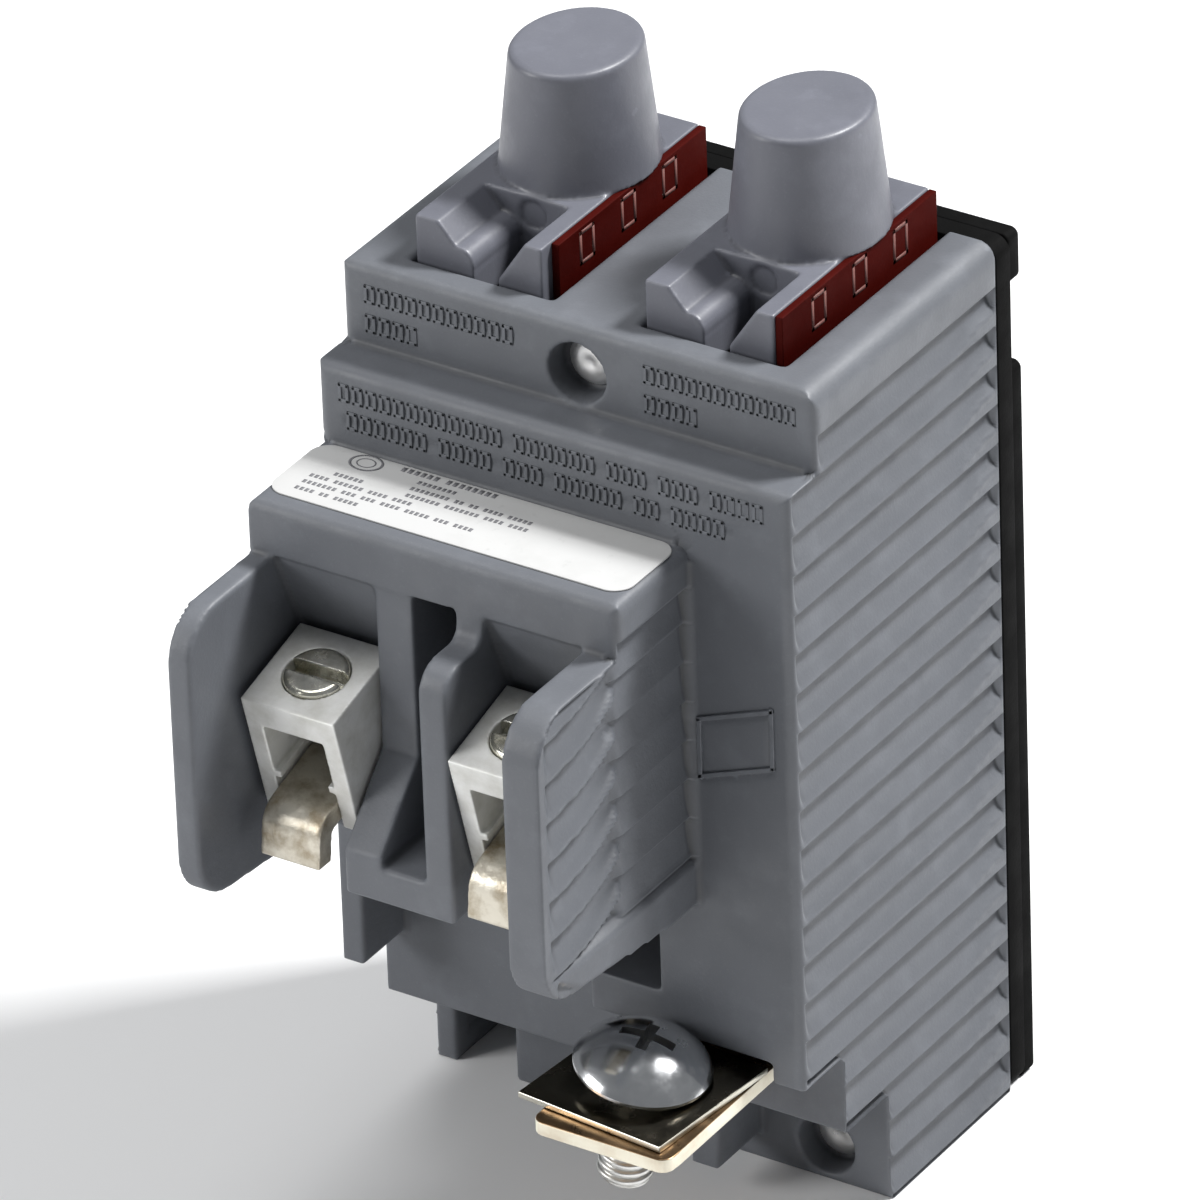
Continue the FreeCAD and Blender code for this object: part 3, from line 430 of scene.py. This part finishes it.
def settle(thing):
    """Apply every modifier of a piece."""
    bpy.context.view_layer.update()
    evaluated = thing.evaluated_get(bpy.context.evaluated_depsgraph_get())
    mesh = bpy.data.meshes.new_from_object(evaluated)
    materials = list(thing.data.materials)
    thing.modifiers.clear()
    thing.data = mesh
    mesh.materials.clear()
    for material in materials:
        mesh.materials.append(material)
    for polygon in mesh.polygons:
        polygon.use_smooth = True
    return thing


def soften(thing, voxel, rounds):
    """Fuse a piece's overlapping solids into one skin and ease its edges, as moulding does."""
    remesh = thing.modifiers.new("fuse", "REMESH")
    remesh.mode = "VOXEL"
    remesh.voxel_size = voxel * MM
    ease = thing.modifiers.new("ease", "SMOOTH")
    ease.factor = 0.5
    ease.iterations = rounds
    return settle(thing)


def bevelled(thing, width, segments=3, angle=35):
    """Round a piece's sharp edges by a stated width."""
    bevel = thing.modifiers.new("bevel", "BEVEL")
    bevel.width = width * MM
    bevel.segments = segments
    bevel.limit_method = "ANGLE"
    bevel.angle_limit = math.radians(angle)
    bevel.harden_normals = True
    return settle(thing)


def second_finish(thing, finish, limit):
    """Give a sheet's cut edges, the faces that look less upwards than the limit, another finish."""
    thing.data.materials.append(FINISH[finish])
    for polygon in thing.data.polygons:
        if abs(polygon.normal.z) < limit:
            polygon.material_index = 1


def carve(thing, tool_shape):
    """Cut one closed shape out of a piece."""
    mesh = bpy.data.meshes.new("tool")
    tool_shape.to_mesh(mesh)
    tool_shape.free()
    tool = bpy.data.objects.new("tool", mesh)
    bpy.context.scene.collection.objects.link(tool)
    cut = thing.modifiers.new("cut", "BOOLEAN")
    cut.operation = "DIFFERENCE"
    cut.solver = "EXACT"
    cut.object = tool
    settle(thing)
    bpy.data.objects.remove(tool)
    return thing


def flat_copy(node):
    """A CAD copy whose coplanar triangles are merged, ready to be bevelled."""
    shape = cad_copy(node)
    bmesh.ops.dissolve_limit(shape, angle_limit=math.radians(1), verts=shape.verts, edges=shape.edges)
    return shape


# ---------------------------------------------------------------- the grey case

RIGHT_SIDE = [(CASE_BACK, 0), (CASE_BACK, CASE_TOP), (0, CASE_TOP), (0, LEDGE_Z), (MAIN_FACE_Y, LEDGE_Z),
              (MAIN_FACE_Y, 15.0), (1.8, 15.0), (1.8, 8.8), (7.6, 8.8), (7.6, 0)]
LEFT_SIDE = [(CASE_BACK, 0), (CASE_BACK, CASE_TOP), (0, CASE_TOP), (0, LEDGE_Z), (MAIN_FACE_Y, LEDGE_Z),
             (MAIN_FACE_Y, 14.2), (1.8, 14.2), (1.8, 8.8), (7.6, 8.8), (7.6, 0)]
HOOD_SIDE = [(-21.4, 33.4), (-21.4, 50.9), (-20.2, 51.9), (-12.2, 51.9), (-12.2, 55.0), (-3.4, 55.0),
             (-3.4, 28.6), (-9.0, 28.5), (-18.5, 29.5), (-21.0, 31.2)]


def rib_depth(share, depth, lip, curl, drop=1.0):
    """Depth at a share of a rib's pitch: a cove that curls out to its lip, then drops back within a share."""
    if share < lip:
        return depth * (1 - (share / lip) ** curl)
    return depth * smooth_step(lip, min(lip + drop, 1.0), share)


def case_side_depth(y, z):
    """Groove depth on the two outer sides, where a fine nick splits each lip towards the back."""
    if z > RIB_TOP:
        return 0.0
    share = ((RIB_TOP - z) / RIB_PITCH) % 1.0
    front = 0.0 if z > LEDGE_Z else MAIN_FACE_Y
    soft = smooth_step(0.0, RIB_SOFT_EDGE, y - front - 0.3)
    split = 0.30 * smooth_step(LIP_SPLIT_Y, CASE_BACK, y)
    nick = RIB_LIP - split
    if nick < share < RIB_LIP:
        return soft * LIP_NICK * smooth_step(0.0, 0.05, share - nick) * (RIB_LIP - share) / split
    if share >= RIB_LIP:
        return soft * rib_depth(share, RIB_DEPTH, RIB_LIP, 2.6)
    return soft * RIB_DEPTH * (1 - (share / nick) ** 2.6)


def hood_side_depth(y, z):
    """Groove depth beside the right lug: tapering leaves on the barrier, and a plainer board behind them."""
    share = ((HOOD_RIB_TOP - z) / RIB_PITCH) % 1.0
    to_tip = min(max((y - LEAF_FRONT) / (LEAF_TIP - LEAF_FRONT), 0.0), 1.0)
    leaf_lip = RIB_LIP - 0.68 * to_tip ** 2.2
    leaf = rib_depth(share, LEAF_DEPTH, leaf_lip, 2.0, 0.14)
    leaf *= smooth_step(LEAF_FRONT - 0.6, LEAF_FRONT + 0.8, y)
    board = BOARD_SINK + rib_depth(share, BOARD_RIB, RIB_LIP, 2.0)
    on_board = smooth_step(LEAF_TIP - 0.5, LEAF_TIP + 0.5, y)
    below_top = 1 - smooth_step(HOOD_RIB_TOP - 0.2, HOOD_RIB_TOP, z)
    above_foot = smooth_step(HOOD_RIB_FOOT, HOOD_RIB_FOOT + 1.0, z)
    return (leaf * (1 - on_board) + board * on_board) * below_top * above_foot


def line_up_rows(shape, chosen, rib_top):
    """Cut mesh rows exactly along each rib's lip and along the foot of the step below it."""
    rows = {}
    for face in shape.faces:
        centre = design(face.calc_center_median())
        if chosen(centre) and centre.z < rib_top + 1:
            rows.setdefault(round((rib_top - centre.z) / RIB_PITCH), []).append(face)
    for rib, faces in rows.items():
        geometry = [*faces, *{part for face in faces for part in (*face.verts, *face.edges)}]
        for share in (0.0, RIB_LIP - 1.0):
            level = at(0, 0, rib_top - (rib + share) * RIB_PITCH)
            cut = bmesh.ops.bisect_plane(shape, geom=geometry, dist=1e-7, plane_co=level, plane_no=ALONG_Z)
            geometry = cut["geom"]


def on_outer_side(point):
    """True on the two wide side faces of the block."""
    return abs(point.x - CASE_WIDTH / 2) > CASE_WIDTH / 2 - 0.3 and point.y > MAIN_FACE_Y


def on_hood_side(point):
    """True on the outer sides of the hood and its barriers."""
    return (abs(point.x - HOOD_RIGHT) < 0.3 or point.x < 0.3) and point.y < MAIN_FACE_Y and point.z > 28


def groove_sides(thing):
    """Press the ribs into the plain side faces of the fused case."""
    shape = bmesh.new()
    shape.from_mesh(thing.data)
    line_up_rows(shape, on_outer_side, RIB_TOP)
    line_up_rows(shape, on_hood_side, HOOD_RIB_TOP)
    shape.normal_update()
    for vertex in shape.verts:
        share = min(max(abs(vertex.normal.x) - 0.75, 0.0) / 0.15, 1.0)
        if share == 0.0:
            continue
        point = design(vertex.co)
        outward = 1 if vertex.normal.x > 0 else -1
        if outward * (point.x - CASE_WIDTH / 2) > CASE_WIDTH / 2 - 0.35:
            on_hood = outward < 0 and point.y < MAIN_FACE_Y
            depth = hood_side_depth if on_hood else case_side_depth
            vertex.co.x -= outward * depth(point.y, point.z) * share * MM
        elif abs(point.x - HOOD_RIGHT) < 0.3 and outward > 0 and point.y < MAIN_FACE_Y and point.z > 28:
            vertex.co.x -= hood_side_depth(point.y, point.z) * share * MM
    shape.to_mesh(thing.data)
    shape.free()


ROUNDED_EDGES = (
    # (axis, face, inward) of the two faces that meet, radius, and the box that holds the edge
    (("z", CASE_TOP, -1), ("x", CASE_WIDTH, -1), 1.7, ((30, 40), (-1, 24), (60, 70))),
    (("z", CASE_TOP, -1), ("x", 0.0, 1), 0.8, ((-1, 8), (-1, 24), (60, 70))),
    (("z", CASE_TOP, -1), ("y", 0.0, 1), 0.9, ((-1, 40), (-1, 3), (60, 70))),
    (("z", LEDGE_Z, -1), ("y", MAIN_FACE_Y, 1), 0.9, ((-1, 40), (-4, 0), (58, 63))),
    (("x", CASE_WIDTH, -1), ("y", 0.0, 1), 0.8, ((34, 40), (-1, 4), (LEDGE_Z, 70))),
    (("x", 0.0, 1), ("y", 0.0, 1), 0.8, ((-1, 4), (-1, 4), (LEDGE_Z, 70))),
    (("x", CASE_WIDTH, -1), ("y", MAIN_FACE_Y, 1), 0.9, ((34, 40), (-4, 1), (14, LEDGE_Z))),
    (("x", 0.0, 1), ("y", MAIN_FACE_Y, 1), 0.9, ((-1, 4), (-4, 1), (HOOD_TOP, LEDGE_Z))),
    (("z", HOOD_TOP, -1), ("x", HOOD_RIGHT, -1), 0.9, ((26, 31), (-13, -3), (52, 57))),
    (("z", HOOD_TOP, -1), ("x", 0.0, 1), 0.9, ((-1, 4), (-13, -3), (52, 57))),
    (("y", HOOD_FACE_Y, 1), ("x", HOOD_RIGHT, -1), 0.9, ((26, 31), (-13, -9), (52, 57))),
)


def round_over(thing):
    """Ease the case's long outer edges to their moulded radii."""
    for vertex in thing.data.vertices:
        point = design(vertex.co)
        for first, second, radius, box in ROUNDED_EDGES:
            if not all(low < value < high for value, (low, high) in zip(point, box)):
                continue
            inside = []
            for axis, face, inward in (first, second):
                inside.append((getattr(point, axis) - face) * inward)
            if max(inside) > radius:
                continue
            reach = math.hypot(radius - inside[0], radius - inside[1])
            if reach <= radius:
                continue
            for (axis, face, inward), depth in zip((first, second), inside):
                eased = radius - (radius - depth) * radius / reach
                setattr(point, axis, face + inward * eased)
        vertex.co = at(*point)


def press_flat(shape):
    """Sink the CAD's plain bars and frame into the faces; finer raised marks replace them."""
    for vertex in shape.verts:
        point = design(vertex.co)
        if abs(point.y + 0.15) < 0.03 and point.z > 63:
            vertex.co.y = at(0, 0.1, 0).y
        if -3.72 < point.y < -3.6 and (point.z > 57.5 or point.x > 29.9):
            vertex.co.y = at(0, MAIN_FACE_Y + 0.1, 0).y


def make_case():
    """The grey moulding, fused from its CAD shape with plain side skins, softened, then ribbed."""
    shape = cad_copy("case")
    press_flat(shape)
    right = prism(RIGHT_SIDE, CASE_WIDTH - 1.0, CASE_WIDTH, "x")
    left = prism(LEFT_SIDE, 0.0, 1.0, "x")
    hood = prism(HOOD_SIDE, HOOD_RIGHT - 1.0, HOOD_RIGHT, "x")
    case = piece("case_moulding", joined([shape, right, left, hood]), "housing", "case_grey", ["case"])
    soften(case, CASE_VOXEL, 3)
    groove_sides(case)
    round_over(case)
    return case


def frame_outline(left, bottom, width, height, stroke, rise=0.0):
    """Four bars that make a small upright frame, as (x, z) outlines; rise tips its right side up."""
    right = left + width
    top = bottom + height
    return [
        [(left, bottom), (right, bottom + rise), (right, bottom + rise + stroke), (left, bottom + stroke)],
        [(left, top - stroke), (right, top + rise - stroke), (right, top + rise), (left, top)],
        [(left, bottom), (left + stroke, bottom), (left + stroke, top), (left, top)],
        [(right - stroke, bottom + rise), (right, bottom + rise),
         (right, top + rise), (right - stroke, top + rise)],
    ]


def make_raised_marks():
    """Small empty frames in rows where the moulding carries words, and the empty plaque."""
    rows = (
        (1.9, 65.9, 0.0, (11,)), (1.9, 63.6, 0.0, (4,)),
        (24.4, 65.9, 0.0, (11,)), (24.4, 63.6, 0.0, (4,)),
        (1.8, 59.9, MAIN_FACE_Y, (12, 6, 3, 3, 4)), (2.4, 57.8, MAIN_FACE_Y, (6, 4, 3, 5, 2, 4)),
    )
    shapes = []
    for left, bottom, face, words in rows:
        x = left
        for letters in words:
            for count in range(letters):
                for outline in frame_outline(x, bottom, MARK_WIDTH, MARK_HEIGHT, MARK_STROKE):
                    shapes.append(prism(outline, face - MARK_RISE, face + 0.2, "y"))
                x += MARK_STEP
            x += WORD_GAP
    for outline in frame_outline(30.1, 38.2, 6.2, 4.9, 0.35, rise=2.4):
        shapes.append(prism(outline, MAIN_FACE_Y - 0.15, MAIN_FACE_Y + 0.2, "y"))
    marks = piece("raised_marks", joined(shapes), "housing", "case_grey")
    bevelled(marks, 0.05, 2)
    return marks


# ---------------------------------------------------------------- label, flags and buttons

def make_label():
    """The white label with rows of plain grey dashes and an empty ring in place of its print."""
    label = piece("label_sheet", flat_copy("rating_label"), "housing", "label_white", ["rating_label"])
    bevelled(label, 0.03, 2)
    top = HOOD_TOP + LABEL_THICK
    print_depth = (top - 0.02, top + 0.012)
    lines = (
        (-3.95, 0.55, 7.3, (6, 8)), (-5.0, 0.42, 9.2, (8,)), (-5.9, 0.42, 9.2, (8, 2, 2, 4, 5)),
        (-6.8, 0.42, 3.6, (6,)), (-6.8, 0.42, 9.4, (7, 7, 4, 4)), (-7.7, 0.42, 2.2, (4, 6, 4, 4)),
        (-8.6, 0.42, 2.2, (7, 3, 3, 4, 5, 3, 4)), (-9.55, 0.42, 2.2, (4, 2, 5)),
    )
    shapes = []
    for y, height, left, words in lines:
        x = left
        for letters in words:
            for count in range(letters):
                shapes.append(block((x, x + height * 0.62), (y - height, y), print_depth))
                x += height * 0.95
            x += height * 0.9
    for radius in (1.3, 0.75):
        turns = [2 * math.pi * step / 40 for step in range(40)]
        ring = [(4.7 + radius * math.cos(t), -4.75 + radius * 0.8 * math.sin(t)) for t in turns]
        for index in range(40):
            after = (index + 1) % 40
            inner = [(4.7 + (point[0] - 4.7) * 0.84, -4.75 + (point[1] + 4.75) * 0.84) for point in ring]
            corners = [ring[index], ring[after], inner[after], inner[index]]
            shapes.append(prism(corners, *print_depth, "z"))
    piece("label_print", joined(shapes), "housing", "label_ink")


def make_buttons():
    """Each button with its knob, flag and the flag's marks."""
    bars = (((0, 0.28), (0, 2.6)), ((1.6, 1.88), (0, 2.6)), ((0, 1.88), (0, 0.28)), ((0, 1.88), (2.32, 2.6)))
    for number, offset in ((1, 0.0), (2, POLE_PITCH)):
        body = f"button_{number}"
        button = piece(f"button_moulding_{number}", cad_copy(body), body, "button_grey", [body])
        soften(button, BUTTON_VOXEL, 3)
        flag_node = f"off_flag_{number}"
        flag = piece(f"flag_strip_{number}", flat_copy(flag_node), body, "flag_red", [flag_node])
        bevelled(flag, 0.08, 2)
        shapes = []
        for y in (6.6, 11.9, 17.2):
            for along, up in bars:
                shapes.append(block((FLAG_FACE_X + offset, 15.33 + offset), (y + along[0], y + along[1]),
                                    (FLAG_MARK_FOOT + up[0], FLAG_MARK_FOOT + up[1])))
        piece(f"flag_marks_{number}", joined(shapes), body, "mark_grey")


# ---------------------------------------------------------------- metal pieces

def make_rivets():
    """Bright domed rivet heads in their holes, and the tails at the back."""
    shapes = []
    for x, z, face in RIVET_PLACES:
        end = RIVET_END - face
        profile = [(0, end), (1.4, end), (1.9, end - 0.35), (1.9, COVER_BACK + 0.02 - face),
                   (1.47, COVER_BACK + 0.02 - face), (1.47, 0.7), (1.9, 0.7), (1.88, 0.5), (1.72, 0.28),
                   (1.4, 0.1), (0.9, 0.0), (0.35, 0.04), (0, 0.16)]
        shapes.append(placed(turned(profile, 64), (x, face, z), ALONG_Y))
    piece("rivet_heads", joined(shapes), "housing", "rivet_steel", ["rivets"])


def make_plates():
    """The black cover and rail plates."""
    for node in ("cover", "rail_plate_upper", "rail_plate_lower"):
        plate = piece(f"{node}_moulding", flat_copy(node), "housing", "cover_black", [node])
        bevelled(plate, 0.15, 3)


def bent_strap(offset):
    """The load strap: a sloping sheet whose front end curls down over the edge of the lug."""
    bend_y, bend_z = STRAP_BEND
    outer = [(STRAP_INNER_END, STRAP_TOP), (LUG_WALL_Y, STRAP_TOP)]
    inner = [(STRAP_INNER_END, STRAP_TOP - STRAP_THICK), (LUG_WALL_Y + 0.4, STRAP_TOP - STRAP_THICK)]
    for step in range(11):
        angle = math.radians(90) + LUG_TILT + (math.radians(90) - LUG_TILT) * step / 10
        for path, radius in ((outer, STRAP_THICK + STRAP_BEND_RADIUS), (inner, STRAP_BEND_RADIUS)):
            path.append((bend_y + radius * math.cos(angle), bend_z + radius * math.sin(angle)))
    outer.append((bend_y - STRAP_THICK - STRAP_BEND_RADIUS - 0.2, STRAP_END_Z))
    inner.append((bend_y - STRAP_BEND_RADIUS - 0.2, STRAP_END_Z))
    return prism(outer + inner[::-1], STRAP_LEFT + offset, STRAP_LEFT + STRAP_WIDTH + offset, "x")


def make_lugs():
    """Aluminium lugs, their slotted screws and the tinned straps."""
    for number, offset in ((1, 0.0), (2, LUG_PITCH)):
        lug = piece(f"lug_body_{number}", cad_copy(f"lug_{number}"), "housing", "lug_aluminium",
                    [f"lug_{number}"])
        soften(lug, LUG_VOXEL, 5)
        strap = piece(f"strap_{number}", bent_strap(offset), "housing", "tinned_copper",
                      [f"load_strap_{number}"])
        soften(strap, STRAP_VOXEL, 4)
        screw = f"lug_screw_{number}"
        head = piece(f"{screw}_turned", cad_copy(screw), screw, "lug_screw_steel", [screw])
        soften(head, SCREW_VOXEL, 2)


def make_line_terminal():
    """The line strap and the lock plate."""
    strap = piece("line_strap_plate", flat_copy("line_strap"), "housing", "terminal_brass", ["line_strap"])
    bevelled(strap, 0.12, 3)
    second_finish(strap, "terminal_edge", 0.5)
    plate = piece("lock_plate_sheet", flat_copy("lock_plate"), "housing", "dark_steel", ["lock_plate"])
    bevelled(plate, 0.1, 3)
    # its sides and bevels get the light edge finish: partly bare cut metal, partly a painted highlight
    second_finish(plate, "sheared_edge_and_highlight", 0.9)


def head_profile(ball):
    """The (radius, height) outline of the line screw's domed head."""
    profile = [(0, 0), (2.0, 0), (HEAD_RADIUS - 0.25, 0), (HEAD_RADIUS, 0.15), (HEAD_RADIUS, 0.38)]
    for step in range(1, 29):
        angle = math.asin((HEAD_RADIUS - 0.12) / ball) * (1 - step / 28)
        profile.append((ball * math.sin(angle), HEAD_RIM + HEAD_RISE - ball + ball * math.cos(angle)))
    profile[-1] = (0, HEAD_RIM + HEAD_RISE)
    return profile


def slot_cutter(across, along, floor):
    """A millimetre box about Z that cuts one arm of the recess down to its floor."""
    tool = bmesh.new()
    bmesh.ops.create_cube(tool, size=1)
    for vertex in tool.verts:
        vertex.co.x = across[0] if vertex.co.x < 0 else across[1]
        vertex.co.y = along[0] if vertex.co.y < 0 else along[1]
        vertex.co.z = floor if vertex.co.z < 0 else SLOT_TOP
    return tool


def shade_recess(head, axis, ball):
    """Give the faces that lie below the dome, inside the recess, a darker steel: painted shade in the recess.
    """
    head.data.materials.append(FINISH["recess_painted_shade"])
    for polygon in head.data.polygons:
        from_seat = design(polygon.center) - Vector(LINE_SCREW_SEAT)
        height = from_seat.dot(Vector(axis))
        away = (from_seat - height * Vector(axis)).length
        skin = HEAD_RIM + HEAD_RISE - ball + math.sqrt(ball ** 2 - min(away, HEAD_RADIUS) ** 2)
        if away < 2.3 and 0.9 < height < skin - 0.12:
            polygon.material_index = 1


def make_line_screw():
    """The chrome screw, with its combination slot and a real thread."""
    axis = (math.sin(LINE_SCREW_LEAN), 0, math.cos(LINE_SCREW_LEAN))
    ball = (HEAD_RADIUS ** 2 + HEAD_RISE ** 2) / (2 * HEAD_RISE)
    dome = placed(turned(head_profile(ball), 128), LINE_SCREW_SEAT, axis)
    head = piece("line_screw_head", dome, "line_screw", "zinc_screw", ["line_screw"])
    for across, along, floor in (((-2.0, 2.0), (-0.4, 0.4), 1.3), ((-0.4, 0.4), (-1.5, 1.5), 1.1)):
        carve(head, placed(slot_cutter(across, along, floor), LINE_SCREW_SEAT, axis, LINE_SCREW_TURN))
    bevelled(head, 0.07, 3, 30)
    shade_recess(head, axis, ball)
    rod = placed(threaded(THREAD_RADIUS, THREAD_CORE, THREAD_PITCH, THREAD_LENGTH), LINE_SCREW_SEAT, axis)
    piece("line_screw_thread", rod, "line_screw", "zinc_thread")


def finish_inside():
    """Give every CAD node that stays its own finish."""
    for node, thing in FRAME["nodes"].items():
        if thing.hide_render:
            continue
        slot = next(entry["material_slot"] for entry in FRAME["record"]["subparts"] if entry["node"] == node)
        name = "braid" if node.startswith("braid") else slot
        thing.data.materials.clear()
        thing.data.materials.append(FINISH[name])


# ---------------------------------------------------------------- the studio

def make_floor():
    """A plain pale floor."""
    surface = Surface("pale_floor", (0.83, 0.83, 0.83), 0.8)
    surface.tint((0.78, 0.78, 0.78), surface.band(surface.speckle(6, 2), 0.4, 0.7, 0.0, 0.3))
    mesh = bpy.data.meshes.new("floor")
    mesh.from_pydata([(-3, -3, 0), (3, -3, 0), (3, 3, 0), (-3, 3, 0)], [], [(0, 1, 2, 3)])
    floor = bpy.data.objects.new("floor", mesh)
    bpy.context.scene.collection.objects.link(floor)
    mesh.materials.append(surface.done())


def soft_box(name, place, aim, size, power):
    """A large square lamp that faces a point."""
    lamp = bpy.data.lights.new(name, "AREA")
    lamp.shape = "SQUARE"
    lamp.size = size
    lamp.energy = power
    holder = bpy.data.objects.new(name, lamp)
    holder.location = place
    holder.rotation_euler = (Vector(aim) - Vector(place)).to_track_quat("-Z", "Y").to_euler()
    bpy.context.scene.collection.objects.link(holder)


def make_light():
    """A key lamp at the rear right, a soft one overhead and a left fill, over a dim surround."""
    world = bpy.data.worlds.new("studio")
    world.use_nodes = True
    world.node_tree.nodes["Background"].inputs["Color"].default_value = (0.93, 0.96, 1.0, 1)
    world.node_tree.nodes["Background"].inputs["Strength"].default_value = 0.21
    bpy.context.scene.world = world
    middle = (0, 0, 0.05)
    soft_box("overhead", (-0.08, -0.03, 0.45), middle, 0.20, 0.7)
    soft_box("rear_right", (0.23, 0.23, 0.48), middle, 0.10, 4.9)
    soft_box("left_fill", (-0.40, -0.42, 0.28), middle, 0.25, 2.2)


def make_camera():
    """A long lens that looks down at the terminals and the right side."""
    lens = bpy.data.cameras.new("camera")
    lens.sensor_width = 36.0
    lens.lens = 434.4
    lens.clip_end = 20.0
    camera = bpy.data.objects.new("camera", lens)
    azimuth = math.radians(33.278)
    elevation = math.radians(30.876)
    back = Vector((math.sin(azimuth) * math.cos(elevation), -math.cos(azimuth) * math.cos(elevation),
                   math.sin(elevation)))
    target = Vector((-11.13, 16.84, 34.10)) * MM
    upright = back.to_track_quat("Z", "Y").to_matrix()
    camera.matrix_world = (Matrix.Translation(target + back * 1.01565) @ upright.to_4x4()
                           @ Matrix.Rotation(math.radians(-2.035), 4, "Z"))
    bpy.context.scene.collection.objects.link(camera)
    bpy.context.scene.camera = camera


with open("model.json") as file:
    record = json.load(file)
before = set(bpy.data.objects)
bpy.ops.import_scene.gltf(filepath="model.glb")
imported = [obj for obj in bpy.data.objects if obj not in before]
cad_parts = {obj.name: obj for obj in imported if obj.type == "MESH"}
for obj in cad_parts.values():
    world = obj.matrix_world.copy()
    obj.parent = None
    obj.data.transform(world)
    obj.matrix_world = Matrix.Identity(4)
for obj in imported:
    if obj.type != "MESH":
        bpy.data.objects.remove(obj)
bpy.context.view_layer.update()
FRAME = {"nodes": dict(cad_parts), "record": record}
FINISH = make_materials()

make_camera()
make_light()
make_floor()
make_case()
make_raised_marks()
make_label()
make_buttons()
make_rivets()
make_plates()
make_lugs()
make_line_terminal()
make_line_screw()
finish_inside()

bpy.context.scene.view_settings.view_transform = "Standard"
